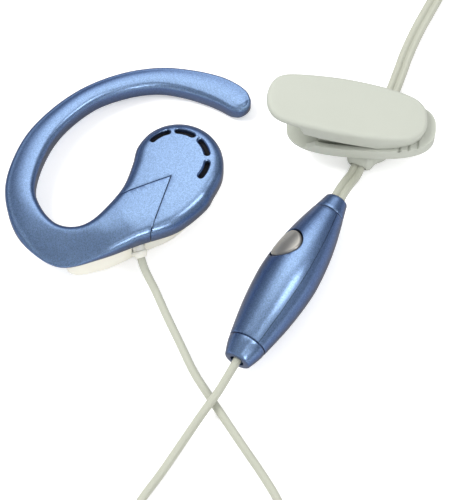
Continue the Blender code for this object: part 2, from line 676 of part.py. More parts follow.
def build_holder(holder_frame, ivory, steel):
    """The swivelling block under the clip that the cord threads through."""
    top = JAW_BOTTOM - GAP
    loops = []
    for z, inset in ((0.4, 1.6), (1.2, 0.5), (3.2, 0.0), (5.2, 0.3), (top, 1.2)):
        loops.append([(x, y, z) for x, y in holder_outline(inset)])
    holder = piece("cord_holder", loft(loops), ivory, holder_frame)
    channel = TWIN_CORD / 2 + GAP
    bore = turn(turned(disc_profile(channel, -12, 12), 16), "X", 90)
    cutter = piece("cutter_channel", bore, None, holder_frame, True)
    cutter.location.z = HOLDER_CORD_Z * MM
    combine(holder, cutter, "DIFFERENCE")
    socket = turned(disc_profile(RIVET_RADIUS + GAP, 4.6, top + 1), 20)
    combine(holder, piece("cutter_rivet", socket, None, holder_frame, True), "DIFFERENCE")
    floor = JAW_BOTTOM + JAW_FLOOR
    rivet = turned((
        (0, 4.9), (RIVET_RADIUS, 4.9), (RIVET_RADIUS, floor + GAP), (2.5, floor + GAP),
        (2.3, floor + 0.8), (1.2, floor + 1.15), (0, floor + 1.15)), 20)
    piece("swivel_rivet", rivet, steel, holder_frame)


def holder_outline(inset):
    """A round disc with a tapered nozzle at each end, as x, y points."""
    radius = HOLDER_RADIUS - inset
    reach = HOLDER_LENGTH / 2 - 0.5 * inset
    mouth = 2.5 - 0.4 * inset
    quarter = [(mouth, reach), (mouth + 0.45 * (reach - 5.0), 5.0 * radius / HOLDER_RADIUS)]
    for angle in (38, 22, 8):
        turn_by = math.radians(angle)
        quarter.append((radius * math.cos(turn_by), radius * math.sin(turn_by)))
    right = quarter + [(x, -y) for x, y in reversed(quarter)]
    return right + [(-x, y) for x, y in reversed(right)]


def build_lower_jaw(clip, ivory):
    body = bevelled_prism(jaw_outline, JAW_BOTTOM, JAW_RIM, 1.1, False)
    jaw = piece("lower_jaw", body, ivory, clip)
    floor = JAW_BOTTOM + JAW_FLOOR
    left = JAW_MIDDLE - JAW_LENGTH / 2
    hollow = [(min(x, 11.0), y) for x, y in jaw_outline(CLIP_WALL) if x < 16]
    combine(jaw, piece("cutter_jaw_hollow", prism(hollow, floor, JAW_RIM + 2), None, clip, True),
            "DIFFERENCE")
    tab = side_prism(((left - 2, floor), (-9.6, floor), (-7.4, JAW_RIM + 0.01),
                      (-7.4, JAW_RIM + 2), (left - 2, JAW_RIM + 2)), JAW_WIDTH)
    combine(jaw, piece("cutter_jaw_tab", tab, None, clip, True), "DIFFERENCE")
    for number, side in enumerate((-1, 1), 1):
        ears = block((PIN_X - 2.2, min(side * 3.9, side * 5.1), floor - 0.5),
                     (PIN_X + 2.2, max(side * 3.9, side * 5.1), PIN_Z + 2.2))
        combine(jaw, piece(f"adder_jaw_ear_{number}", ears, None, clip, True), "UNION")
    for x in (13.2, 15.4, 17.6):
        groove = side_prism(((x - 0.4, JAW_RIM + 1), (x - 0.4, JAW_RIM - 0.1), (x, JAW_RIM - 0.5),
                             (x + 0.4, JAW_RIM - 0.1), (x + 0.4, JAW_RIM + 1)), JAW_WIDTH)
        combine(jaw, piece(f"cutter_jaw_tooth_{x}", groove, None, clip, True), "DIFFERENCE")
    bore = turn(turned(disc_profile(PIN_RADIUS + GAP, -9, 9), 20), "X", 90)
    cutter = piece("cutter_jaw_pin", bore, None, clip, True)
    cutter.location = Vector((PIN_X, 0.0, PIN_Z)) * MM
    combine(jaw, cutter, "DIFFERENCE")
    hole = turned(disc_profile(RIVET_RADIUS + GAP, JAW_BOTTOM - 1, floor + 1), 20)
    cutter = piece("cutter_jaw_rivet", hole, None, clip, True)
    cutter.location.x = SWIVEL_X * MM
    combine(jaw, cutter, "DIFFERENCE")


def build_upper_jaw(clip, ivory):
    """The pressed plate with side walls; its frame is pitched, with the plate's top at z = 0."""
    plate = frame("upper_jaw_frame", (0.0, 0.0, PLATE_TOP), roll=PLATE_PITCH, parent=clip)
    pitch = math.radians(PLATE_PITCH)
    mouth = JAW_RIM + GAP

    def level(x):
        """Height in the plate's frame of the level mouth face, under plate position x."""
        return (mouth - PLATE_TOP + x * math.sin(pitch)) / math.cos(pitch)

    deep = -8.0
    body = bevelled_prism(plate_outline, deep, 0.0, 0.9, True)
    jaw = piece("upper_jaw", body, ivory, plate)
    half = PLATE_LENGTH / 2
    under = side_prism((
        (-half - 2, -PLATE_THICK), (-11.4, -PLATE_THICK), (-9.6, -4.2), (8.0, -4.9),
        (8.8, level(8.8)), (half + 2, level(half + 2)), (half + 2, deep - 6),
        (-half - 2, deep - 6)), PLATE_WIDTH)
    combine(jaw, piece("cutter_plate_under", under, None, plate, True), "DIFFERENCE")
    hollow = [(min(x, 10.0), y) for x, y in plate_outline(CLIP_WALL) if x < 17]
    combine(jaw, piece("cutter_plate_hollow", prism(hollow, deep - 3, -PLATE_THICK), None, plate,
                       True), "DIFFERENCE")
    pin_x = PIN_X * math.cos(pitch) - (PIN_Z - PLATE_TOP) * math.sin(pitch)
    pin_z = PIN_X * math.sin(pitch) + (PIN_Z - PLATE_TOP) * math.cos(pitch)
    for number, side in enumerate((-1, 1), 1):
        ears = block((pin_x - 2.2, min(side * 2.2, side * 3.6), pin_z - 2.2),
                     (pin_x + 2.2, max(side * 2.2, side * 3.6), -PLATE_THICK + 0.4))
        combine(jaw, piece(f"adder_plate_ear_{number}", ears, None, plate, True), "UNION")
    bore = turn(turned(disc_profile(PIN_RADIUS + GAP, -9, 9), 20), "X", 90)
    cutter = piece("cutter_plate_pin", bore, None, plate, True)
    cutter.location = Vector((pin_x, 0.0, pin_z)) * MM
    combine(jaw, cutter, "DIFFERENCE")


# Plug ----------------------------------------------------------------------------------------

def build_plug(paint):
    ivory, metal, black = paint
    plug = frame("plug", (*PLUG_AT, PLUG_RADIUS + 0.2))
    parts = (
        ("plug_strain_relief", ivory, 20, ((0, 0.3), (2.3, 0.3), (1.7, 6.0), (1.6, 11.2),
                                           (0, 11.2))),
        ("plug_body", ivory, 24, ((0, -14.0), (2.9, -14.0), (3.2, -13.2), (3.2, -2.0),
                                  (2.6, 0.0), (0, 0.0))),
        ("jack_sleeve", metal, 20, ((0, -19.4), (1.25, -19.4), (1.25, -15.5), (2.3, -15.5),
                                    (2.3, -14.3), (0, -14.3))),
        ("jack_insulator_1", black, 20, disc_profile(1.2, -20.5, -19.7)),
        ("jack_ring", metal, 20, disc_profile(1.25, -22.6, -20.8)),
        ("jack_insulator_2", black, 20, disc_profile(1.2, -23.7, -22.9)),
        ("jack_tip", metal, 20, ((0, -27.0), (0.7, -26.4), (1.2, -25.4), (0.85, -24.7),
                                 (1.2, -24.3), (1.2, -24.0), (0, -24.0))),
    )
    for name, material, steps, profile in parts:
        piece(name, turn(turned(profile, steps), "Y", 90), material, plug)
    return plug


# Cords ---------------------------------------------------------------------------------------

def cord_tube(name, route, diameter, spacing, material):
    data = bpy.data.curves.new(name, "CURVE")
    data.dimensions = "3D"
    data.bevel_depth = diameter / 2 * MM
    data.bevel_resolution = 2
    data.use_fill_caps = True
    points = even_curve(route, spacing) * MM
    spline = data.splines.new("POLY")
    spline.points.add(len(points) - 1)
    for point, place in zip(spline.points, points):
        point.co = (*place, 1.0)
    data.materials.append(material)
    obj = bpy.data.objects.new(name, data)
    bpy.context.scene.collection.objects.link(obj)
    return obj


def cord_coil(name, at, radius, wide, high, material):
    """The outer shape of a tied coil, raised by its tie."""
    base = TIE_THICK + GAP
    corner = 0.6
    inner, outer = radius - wide / 2, radius + wide / 2
    profile = ((inner + corner, base), (outer - corner, base), (outer, base + corner),
               (outer, base + high - corner), (outer - corner, base + high),
               (inner + corner, base + high), (inner, base + high - corner),
               (inner, base + corner))
    obj = piece(name, turned(profile, 36, closed=True), material, None)
    obj.location = (at[0] * MM, at[1] * MM, 0.0)


def cord_tie(name, at, radius, wide, high, angle, material):
    """A strap around the bundle of turns."""
    half_wide = wide / 2 + GAP
    bottom, top = TIE_THICK, TIE_THICK + 2 * GAP + high
    loops = []
    for grow, along in ((TIE_THICK, -1), (TIE_THICK, 1), (0.0, 1), (0.0, -1)):
        y = along * TIE_WIDTH / 2
        low, up = bottom - grow, top + grow
        side = half_wide + grow
        cut = 0.5
        loops.append([(radius + x, y, z) for x, z in (
            (-side + cut, low), (side - cut, low), (side, low + cut), (side, up - cut),
            (side - cut, up), (-side + cut, up), (-side, up - cut), (-side, low + cut))])
    obj = piece(name, loft(loops, ring=True), material, None)
    obj.location = (at[0] * MM, at[1] * MM, 0.0)
    obj.rotation_euler.z = math.radians(angle)


def pod_point(y):
    """A place on the pod's axis, in world millimetres."""
    yaw = math.radians(POD_YAW)
    return (POD_AT[0] - y * math.sin(yaw), POD_AT[1] + y * math.cos(yaw), POD_RADIUS * POD_LIFT)


def following(route, moved, reach):
    """The route with its start moved, and less of that move at each point up to reach."""
    fade = np.clip(1 - np.arange(len(route)) / reach, 0, 1)
    return [tuple(p) for p in np.array(route) + fade[:, None] * np.array(moved)]


def ear_route():
    """The ear cord's route, from wherever the earpiece's wall is for its size."""
    grown = HOOK_SPAN / HOOK_DRAWN_SPAN - 1
    start = np.array(EAR_CORD_ROUTE[0])
    moved = (start - np.array((*EARPIECE_AT, start[2]))) * grown
    return following(EAR_CORD_ROUTE, moved, 12)


def pod_end_moved(side):
    """How far one end of the pod lies from where the routes were drawn for it."""
    drawn_lift = POD_DRAWN_RADIUS * POD_LIFT
    yaw = math.radians(POD_YAW)
    far = side * (POD_LENGTH - POD_DRAWN_LENGTH) / 2
    return (-far * math.sin(yaw), far * math.cos(yaw), POD_RADIUS * POD_LIFT - drawn_lift)


def build_cords(paint):
    ivory, black = paint
    inside_low = (-17.2 * POD_LENGTH / POD_DRAWN_LENGTH) - GAP
    inside_high = (19.2 * POD_LENGTH / POD_DRAWN_LENGTH) + GAP
    half = POD_LENGTH / 2
    cord_tube("ear_cord", ear_route(), EAR_CORD, 5.0, ivory)
    cord_tube("pod_cord", (pod_point(inside_low), pod_point(-half + 2.5), pod_point(-half),
                           *following(POD_CORD_ROUTE, pod_end_moved(-1), 8)),
              EAR_CORD, 4.5, ivory)
    holder = math.radians(CORD_HEADING)
    heading = math.radians(CLIP_YAW)
    middle = (CLIP_AT[0] + SWIVEL_X * math.cos(heading),
              CLIP_AT[1] + SWIVEL_X * math.sin(heading))
    through = [(middle[0] - d * math.sin(holder), middle[1] + d * math.cos(holder),
                HOLDER_CORD_Z) for d in (-10.2, -7.0, -3.5, 0.0, 3.5, 7.5)]
    cord_tube("twin_cord", (pod_point(inside_high), pod_point(half - 2.0), pod_point(half),
                            *following(TWIN_CORD_ROUTE[:3], pod_end_moved(1), 2), *through,
                            *TWIN_CORD_ROUTE[3:]), TWIN_CORD, 6.0, ivory)
    cord_tube("twin_cord_tail", TWIN_TAIL_ROUTE, TWIN_CORD, 4.0, ivory)
    ear_size = (2 * EAR_CORD + 0.1, 2 * EAR_CORD)
    twin_size = (2 * TWIN_WIDTH, 3 * TWIN_THICK + 0.1)
    cord_coil("ear_cord_coil", EAR_COIL_AT, EAR_COIL_RADIUS, *ear_size, ivory)
    cord_coil("twin_cord_coil", TWIN_COIL_AT, TWIN_COIL_RADIUS, *twin_size, ivory)
    cord_tie("ear_cord_tie", EAR_COIL_AT, EAR_COIL_RADIUS, *ear_size, -90, black)
    cord_tie("twin_cord_tie", TWIN_COIL_AT, TWIN_COIL_RADIUS, *twin_size, 0, black)


def build():
    clear_scene()
    blue = finish("blue_metallic", (0.16, 0.27, 0.52), 0.34, 0.55)
    white = finish("white_plastic", (0.86, 0.85, 0.80), 0.35, 0.0)
    ivory = finish("ivory_plastic", (0.74, 0.75, 0.68), 0.5, 0.0)
    cord = finish("cord_ivory", (0.76, 0.76, 0.68), 0.45, 0.0)
    silver = finish("silver_plastic", (0.62, 0.61, 0.57), 0.28, 0.6)
    black = finish("black_plastic", (0.02, 0.02, 0.025), 0.6, 0.0)
    foam = finish("black_foam", (0.03, 0.03, 0.035), 0.95, 0.0)
    steel = finish("steel", (0.55, 0.55, 0.56), 0.3, 1.0)
    brass = finish("brass", (0.70, 0.55, 0.28), 0.3, 1.0)
    copper = finish("copper", (0.72, 0.38, 0.22), 0.35, 1.0)
    board = finish("board_green", (0.03, 0.22, 0.10), 0.5, 0.0)
    film = finish("clear_film", (0.75, 0.76, 0.78), 0.2, 0.0)
    build_earpiece((blue, white, black, steel, foam, board, copper, film))
    build_pod((blue, silver, board, black, steel, brass))
    build_clip((ivory, steel))
    build_plug((ivory, steel, black))
    build_cords((cord, black))


build()
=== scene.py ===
# %% [markdown]
# # A mono ear-hook headset
#
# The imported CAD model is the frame. This script dresses it for a studio view: the camera and the cords
# first, then each piece that shows, then its finish. All lengths are metres; small sizes are written as n
# * MM.

import math

import bmesh
import bpy
import numpy as np
from mathutils import Matrix, Vector


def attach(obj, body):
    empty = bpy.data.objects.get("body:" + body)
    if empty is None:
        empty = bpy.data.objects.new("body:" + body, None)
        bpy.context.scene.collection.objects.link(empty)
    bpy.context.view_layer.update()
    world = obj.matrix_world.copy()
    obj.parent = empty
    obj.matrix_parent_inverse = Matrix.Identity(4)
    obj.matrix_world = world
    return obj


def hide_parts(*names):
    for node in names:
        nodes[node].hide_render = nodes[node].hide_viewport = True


MM = 0.001

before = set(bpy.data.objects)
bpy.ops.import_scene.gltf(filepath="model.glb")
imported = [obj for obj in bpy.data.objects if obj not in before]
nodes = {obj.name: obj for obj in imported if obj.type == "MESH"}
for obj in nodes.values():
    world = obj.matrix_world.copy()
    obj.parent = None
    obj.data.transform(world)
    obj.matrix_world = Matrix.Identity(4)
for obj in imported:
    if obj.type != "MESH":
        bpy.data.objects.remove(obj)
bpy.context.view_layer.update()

# %% [markdown]
# ## Camera
#
# A real product shot of small things is taken from well above with a long lens, which keeps the far end
# of the cord nearly the same size as the near end. So the lens is 135 mm, 45 cm away, 63 degrees up.

# %% Camera
TARGET = Vector((1.3, -10.5, 6.0)) * MM
ELEVATION = math.radians(63)
DISTANCE = 0.45

camera = bpy.data.objects.new("camera", bpy.data.cameras.new("camera"))
bpy.context.scene.collection.objects.link(camera)
camera.location = TARGET + DISTANCE * Vector((0, -math.cos(ELEVATION), math.sin(ELEVATION)))
camera.rotation_euler = (TARGET - camera.location).to_track_quat("-Z", "Y").to_euler()
camera.data.lens = 135
camera.data.clip_start = 0.01
bpy.context.scene.camera = camera

# %% [markdown]
# ## Helpers for shapes
#
# Most of these pieces are one section carried along a line: a cord, a hook, a plate's rounded rim.
# `sweep` draws the first section as a ring of points, extrudes it once per section and moves each new
# ring to its place, as one would by pressing E and moving the new loop. Merging by distance at the end
# closes a ring that shrinks to a point.

# %% Sweep, turned and box shapes
def smooth(points, samples):
    """A Catmull-Rom curve through the points, with so many samples to each stretch."""
    pts = np.array(points, float)
    pts = np.vstack([2 * pts[0] - pts[1], pts, 2 * pts[-1] - pts[-2]])
    t = np.linspace(0, 1, samples, endpoint=False)[:, None]
    fine = []
    for p0, p1, p2, p3 in zip(pts, pts[1:], pts[2:], pts[3:]):
        fine.append(0.5 * (2 * p1 + (p2 - p0) * t + (2 * p0 - 5 * p1 + 4 * p2 - p3) * t**2
                           + (3 * p1 - p0 - 3 * p2 + p3) * t**3))
    return np.vstack([*fine, pts[-2:-1]])


def smooth_ring(points, samples):
    """The same through a closed outline."""
    pts = list(points)
    return smooth([*pts[-2:], *pts, *pts[:2]], samples)[2 * samples:-samples - 1]


def even(points, spacing):
    """The same smooth curve, read at an even spacing."""
    fine = smooth(points, 24)
    steps = np.concatenate([[0], np.cumsum(np.linalg.norm(np.diff(fine[:, :3], axis=0), axis=1))])
    at = np.linspace(0, steps[-1], max(2, round(steps[-1] / spacing) + 1))
    return np.stack([np.interp(at, steps, column) for column in fine.T], axis=1)


def sweep(rings, closed=False, caps=True):
    """A body through rings of the same number of points."""
    bm = bmesh.new()
    first = bmesh.ops.create_circle(bm, segments=len(rings[0]), radius=MM)["verts"]
    ring = list(first)
    for vert, place in zip(ring, rings[0]):
        vert.co = place
    for places in rings[1:]:
        edges = [bm.edges.get((a, b)) for a, b in zip(ring, ring[1:] + ring[:1])]
        made = bmesh.ops.extrude_edge_only(bm, edges=edges)["geom"]
        new = {v for v in made if isinstance(v, bmesh.types.BMVert)}
        ring = [next(e.other_vert(v) for e in v.link_edges if e.other_vert(v) in new) for v in ring]
        for vert, place in zip(ring, places):
            vert.co = place
    if closed:
        sides = [bm.edges.get((a, b)) for loop in (first, ring) for a, b in zip(loop, loop[1:] + loop[:1])]
        bmesh.ops.bridge_loops(bm, edges=sides)
    elif caps:
        bmesh.ops.contextual_create(bm, geom=list(first))
        bmesh.ops.contextual_create(bm, geom=ring)
    bmesh.ops.remove_doubles(bm, verts=bm.verts, dist=2e-6)
    bmesh.ops.dissolve_degenerate(bm, edges=bm.edges, dist=1e-7)
    bmesh.ops.recalc_face_normals(bm, faces=bm.faces)
    return bm


def turned(profile, steps=64, closed=False):
    """A body turned about Z from (radius, height) points in millimetres."""
    bm = bmesh.new()
    verts = [bm.verts.new((r * MM, 0, z * MM)) for r, z in profile]
    edges = [bm.edges.new(pair) for pair in zip(verts, verts[1:])]
    if closed:
        edges.append(bm.edges.new((verts[-1], verts[0])))
    bmesh.ops.spin(bm, geom=verts + edges, cent=(0, 0, 0), axis=(0, 0, 1), angle=2 * math.pi,
                   steps=steps, use_merge=True)
    bmesh.ops.remove_doubles(bm, verts=bm.verts, dist=1e-6)
    bmesh.ops.recalc_face_normals(bm, faces=bm.faces)
    return bm


def rounded(profile, radius, steps=4):
    """A profile with each inner corner rounded to about radius, all in millimetres."""
    points = [Vector(p) for p in profile]
    out = [points[0]]
    for before, corner, after in zip(points, points[1:], points[2:]):
        reach = min(radius, (before - corner).length / 2.2, (after - corner).length / 2.2)
        start = corner + (before - corner).normalized() * reach
        end = corner + (after - corner).normalized() * reach
        for t in np.linspace(0, 1, steps + 1):
            out.append(start * (1 - t) ** 2 + corner * 2 * t * (1 - t) + end * t**2)
    return [tuple(p) for p in out + [points[-1]]]


def box(low, high):
    """A block between two corners, in millimetres."""
    bm = bmesh.new()
    middle = (Vector(low) + Vector(high)) / 2 * MM
    size = (Vector(high) - Vector(low)) * MM
    bmesh.ops.create_cube(bm, size=1, matrix=Matrix.Translation(middle) @ Matrix.Diagonal((*size, 1)))
    return bm


def prism(outline, low, high):
    """A flat outline of x, y points between two heights, in millimetres."""
    return sweep([[Vector((x, y, z)) * MM for x, y in outline] for z in (low, high)])


def side_prism(outline, half):
    """An outline of x, z points, half wide each way along Y."""
    return sweep([[Vector((x, y, z)) * MM for x, z in outline] for y in (-half, half)])


# %% [markdown]
# A piece's place is kept in its mesh, so that its object stays at the origin. Boolean cuts are applied at
# once for the same reason: the finished mesh can then have its sharp edges marked and its cut rims
# bevelled.

# %% Make, cut and bevel pieces
def place(bm, matrix):
    bmesh.ops.transform(bm, matrix=matrix, verts=bm.verts)
    return bm


def piece(name, bm, sharp=40):
    """An object whose name has _look added, so that it differs from its CAD node's."""
    name = name.replace(" ", "_") + "_look"
    mesh = bpy.data.meshes.new(name)
    bm.to_mesh(mesh)
    bm.free()
    mesh.shade_smooth()
    mesh.set_sharp_from_angle(angle=math.radians(sharp))
    obj = bpy.data.objects.new(name, mesh)
    bpy.context.scene.collection.objects.link(obj)
    return obj


def cut(bm, *operations):
    """The body after each (operation, other body)."""
    body = piece("working", bm)
    for operation, other in operations:
        tool = piece("tool", other)
        modifier = body.modifiers.new("cut", "BOOLEAN")
        modifier.operation = operation
        modifier.solver = "EXACT"
        modifier.object = tool
        done = bpy.data.meshes.new_from_object(body.evaluated_get(bpy.context.evaluated_depsgraph_get()))
        body.modifiers.clear()
        body.data = done
        bpy.data.objects.remove(tool)
    out = bmesh.new()
    out.from_mesh(body.data)
    bpy.data.objects.remove(body)
    bmesh.ops.remove_doubles(out, verts=out.verts, dist=1e-6)
    return out


def bevel_where(bm, width, chosen, angle=50, segments=2):
    """Rounds the edges that turn more than angle and that chosen(middle, in mm) picks."""
    bmesh.ops.remove_doubles(bm, verts=bm.verts, dist=1.5e-5)
    edges = []
    for edge in bm.edges:
        if len(edge.link_faces) == 2 and edge.calc_face_angle(0) > math.radians(angle):
            if chosen((edge.verts[0].co + edge.verts[1].co) / 2 / MM):
                edges.append(edge)
    bmesh.ops.bevel(bm, geom=edges, offset=width * MM, segments=segments, profile=0.5, affect="EDGES",
                    clamp_overlap=False, material=-1)
    return bm


def dress(obj, body, slot, material, *replaced):
    obj.data.materials.clear()
    obj.data.materials.append(material)
    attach(obj, body)
    if replaced:
        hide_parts(*replaced)
    print(obj.name, len(obj.data.polygons), "faces")
    return obj


# %% [markdown]
# ## Finishes
#
# Each finish is procedural. The fine detail they share, a soft mottle and a fine grain read from the
# object's own coordinates, is one node group that gives masks and a bumped normal, and each finish mixes
# them in its own way.

# %% Shared grain group
def group(name, outputs):
    tree = bpy.data.node_groups.new(name, "ShaderNodeTree")
    for socket, default in (("Scale", 1.0), ("Bump", 0.1)):
        made = tree.interface.new_socket(socket, in_out="INPUT", socket_type="NodeSocketFloat")
        made.default_value = default
    for socket, kind in outputs:
        tree.interface.new_socket(socket, in_out="OUTPUT", socket_type=kind)
    return tree, tree.nodes.new("NodeGroupInput"), tree.nodes.new("NodeGroupOutput")


def node(tree, kind, inputs=(), **settings):
    made = tree.nodes.new(kind)
    for key, value in settings.items():
        setattr(made, key, value)
    for key, value in dict(inputs).items():
        if isinstance(value, bpy.types.NodeSocket):
            tree.links.new(value, made.inputs[key])
        else:
            made.inputs[key].default_value = value
    return made


grain, given, out = group("Surface grain", (("Mottle", "NodeSocketFloat"), ("Grain", "NodeSocketFloat"),
                                            ("Normal", "NodeSocketVector")))
place_in = node(grain, "ShaderNodeTexCoord").outputs["Object"]
coarse = node(grain, "ShaderNodeMath", {0: given.outputs["Scale"], 1: 120.0}, operation="MULTIPLY")
fine = node(grain, "ShaderNodeMath", {0: given.outputs["Scale"], 1: 2600.0}, operation="MULTIPLY")
mottle = node(grain, "ShaderNodeTexNoise", {"Vector": place_in, "Scale": coarse.outputs[0], "Detail": 3.0})
specks = node(grain, "ShaderNodeTexNoise", {"Vector": place_in, "Scale": fine.outputs[0], "Detail": 2.0})
bump = node(grain, "ShaderNodeBump", {"Strength": given.outputs["Bump"], "Distance": 0.0001,
                                      "Height": specks.outputs[0]})
grain.links.new(mottle.outputs[0], out.inputs["Mottle"])
grain.links.new(specks.outputs[0], out.inputs["Grain"])
grain.links.new(bump.outputs[0], out.inputs["Normal"])


# %% [markdown]
# Plastic, metal and paint are one Principled shader each. `finish` makes the material, lets the mottle
# move the colour a little towards a second shade, and lets the grain move the roughness, as a moulded
# skin does.

# %% Plain finishes
def finish(name, colour, second, roughness, metallic=0.0, scale=1.0, bump=0.1, ior=1.5, subsurface=0.0):
    material = bpy.data.materials.new(name)
    material.use_nodes = True
    tree = material.node_tree
    shader = tree.nodes["Principled BSDF"]
    shared = node(tree, "ShaderNodeGroup", node_tree=grain)
    shared.inputs["Scale"].default_value = scale
    shared.inputs["Bump"].default_value = bump
    mix = node(tree, "ShaderNodeMix", data_type="RGBA")
    mix.inputs[6].default_value = (*colour, 1)
    mix.inputs[7].default_value = (*second, 1)
    tree.links.new(shared.outputs["Mottle"], mix.inputs[0])
    tree.links.new(mix.outputs[2], shader.inputs["Base Color"])
    rough = node(tree, "ShaderNodeMapRange", {"Value": shared.outputs["Grain"], "To Min": roughness - 0.05,
                                              "To Max": roughness + 0.05})
    tree.links.new(rough.outputs[0], shader.inputs["Roughness"])
    tree.links.new(shared.outputs["Normal"], shader.inputs["Normal"])
    shader.inputs["Metallic"].default_value = metallic
    shader.inputs["IOR"].default_value = ior
    if subsurface:
        shader.inputs["Subsurface Weight"].default_value = subsurface
        shader.inputs["Subsurface Radius"].default_value = (0.002, 0.0015, 0.001)
        shader.inputs["Subsurface Scale"].default_value = 1.0
    return material


white_plastic = finish("white plastic", (0.84, 0.82, 0.72), (0.80, 0.78, 0.69), 0.3, subsurface=0.15)
ivory_plastic = finish("ivory plastic", (0.48, 0.50, 0.435), (0.46, 0.48, 0.415), 0.38, bump=0.2)
cord_vinyl = finish("cord vinyl", (0.46, 0.47, 0.39), (0.42, 0.43, 0.355), 0.33, bump=0.25)
black_plastic = finish("black plastic", (0.012, 0.012, 0.014), (0.03, 0.03, 0.034), 0.5, bump=0.3)
steel = finish("nickel plate", (0.62, 0.61, 0.59), (0.56, 0.55, 0.54), 0.24, metallic=1.0, bump=0.1)
brass = finish("brass", (0.70, 0.52, 0.26), (0.62, 0.45, 0.22), 0.3, metallic=1.0)
copper = finish("copper winding", (0.75, 0.36, 0.20), (0.62, 0.28, 0.15), 0.35, metallic=1.0)
board_green = finish("green board", (0.02, 0.16, 0.07), (0.03, 0.24, 0.11), 0.4)
film = finish("clear film", (0.72, 0.73, 0.75), (0.64, 0.66, 0.7), 0.2)
foam = finish("black foam", (0.012, 0.012, 0.014), (0.035, 0.035, 0.04), 0.95, scale=0.6, bump=1.0)
silver_paint = finish("silver paint", (0.53, 0.51, 0.46), (0.46, 0.44, 0.40), 0.3, metallic=0.8, bump=0.15)

# %% [markdown]
# The blue is a metallic paint: aluminium flakes lie flat in a blue lacquer. Its base colour is painted pale
# and silvery where a face turns to the eye and navy where it turns away: partly the paint's own flop, partly
# painted shade for the dark room that the side walls mirror. Layer Weight gives that turn, and a cell
# texture makes each flake a little brighter or darker than the next.

# %% Blue flake paint
blue_paint = bpy.data.materials.new("blue flake paint")
blue_paint.use_nodes = True
tree = blue_paint.node_tree
shader = tree.nodes["Principled BSDF"]
shared = node(tree, "ShaderNodeGroup", node_tree=grain)
shared.inputs["Bump"].default_value = 0.05
turned_away = node(tree, "ShaderNodeLayerWeight", {"Blend": 0.5})
# Painted shade with the flop: the base colour darkens to navy as a face turns away from the eye.
flop_and_painted_shade = node(tree, "ShaderNodeValToRGB", {"Fac": turned_away.outputs["Facing"]})
flop_and_painted_shade.color_ramp.elements[0].position = 0.05
flop_and_painted_shade.color_ramp.elements[0].color = (0.35, 0.52, 0.80, 1)
flop_and_painted_shade.color_ramp.elements[1].position = 0.76
flop_and_painted_shade.color_ramp.elements[1].color = (0.06, 0.075, 0.135, 1)
flop_and_painted_shade.color_ramp.elements.new(0.38).color = (0.12, 0.20, 0.41, 1)
where = node(tree, "ShaderNodeTexCoord").outputs["Object"]
flakes = node(tree, "ShaderNodeTexVoronoi", {"Vector": where, "Scale": 5200.0})
spark = node(tree, "ShaderNodeMapRange", {"Value": flakes.outputs["Color"], "To Min": 0.74, "To Max": 1.26})
brighter = node(tree, "ShaderNodeVectorMath", {0: flop_and_painted_shade.outputs[0], 1: spark.outputs[0]}, operation="MULTIPLY")
tree.links.new(brighter.outputs[0], shader.inputs["Base Color"])
tree.links.new(shared.outputs["Normal"], shader.inputs["Normal"])
shader.inputs["Metallic"].default_value = 0.85
shader.inputs["Roughness"].default_value = 0.3
shader.inputs["Coat Weight"].default_value = 0.12
shader.inputs["Coat Roughness"].default_value = 0.12

# %% [markdown]
# ## Cords
#
# Two cords leave the pod. The round one runs to the earpiece by way of a small tied coil, and the flat
# twin one runs through the clip's holder to a larger tied coil and the plug. A coil is not drawn as a
# ring: its turns are worked out one after another, side by side and in layers, and the crossing cord
# passes over in a low hump.

# %% Where the cords run, in millimetres
EAR_RADIUS = 1.0
TWIN_LOBE = 0.9    # radius of one of the twin cord's two conductors in its sheath
TWIN_WAIST = 0.42  # half the thickness at the groove between them
EAR_START = [
    (-19.35, -11.9, 4.7), (-18.9, -13.3, 3.9), (-18.3, -14.6, 3.0), (-17.4, -16.2, 2.0), (-16.2, -18.4, 1.3),
    (-14.7, -21.8, 1.05), (-13.1, -25.6, 1.05), (-9.8, -32.9, 1.05), (-6.5, -40.2, 1.05), (-3.1, -45.9, 1.05),
    (0.4, -51.5, 1.05), (4.4, -57.9, 1.05), (9.5, -65.9, 1.05), (12.9, -72.0, 1.05), (14.7, -77.5, 1.4),
    (14.2, -82.0, 1.7),
]
POD_START = [
    (2.5, -41.9, 6.9), (0.9, -44.3, 5.8), (-0.6, -46.5, 4.7), (-2.2, -48.5, 3.75), (-4.4, -51.6, 3.35),
    (-6.9, -55.1, 2.4), (-9.9, -59.4, 1.35), (-14.0, -65.7, 1.05), (-18.2, -71.8, 1.05), (-20.4, -76.6, 1.4),
    (-20.1, -80.7, 2.4),
]
POD_AT = Vector((15.75, -18.9, 7.35 * 0.992))
POD_YAW = math.radians(-29.9)
POD_ROLL = math.radians(-44)
POD_HALF = 24.4


def pod_point(y):
    return (POD_AT.x - y * math.sin(POD_YAW), POD_AT.y + y * math.cos(POD_YAW), POD_AT.z)


EAR_COIL = Vector((-3.0, -88.9))


def coil_point(middle, angle, radius, height):
    a = math.radians(angle)
    return (middle.x + radius * math.cos(a), middle.y + radius * math.sin(a), height)


ear_turns = []
for step in range(2, 51):
    turn = step / 20
    angle = 20 - 360 * turn
    radius = np.interp(turn, (0, 0.12, 0.9, 1.1, 2.0, 2.3, 2.5), (14.6, 12.05, 12.05, 10.0, 10.0, 11.0, 14.2))
    height = np.interp(turn, (0, 1.65, 1.98, 2.42, 2.5), (1.75, 1.75, 3.8, 3.85, 3.3))
    ear_turns.append(coil_point(EAR_COIL, angle, radius, height))
ear_route = [*EAR_START, *ear_turns, *reversed(POD_START), pod_point(-POD_HALF), pod_point(-POD_HALF + 2.5),
             pod_point(-17.5)]
ear_path = even(ear_route, 1.0)

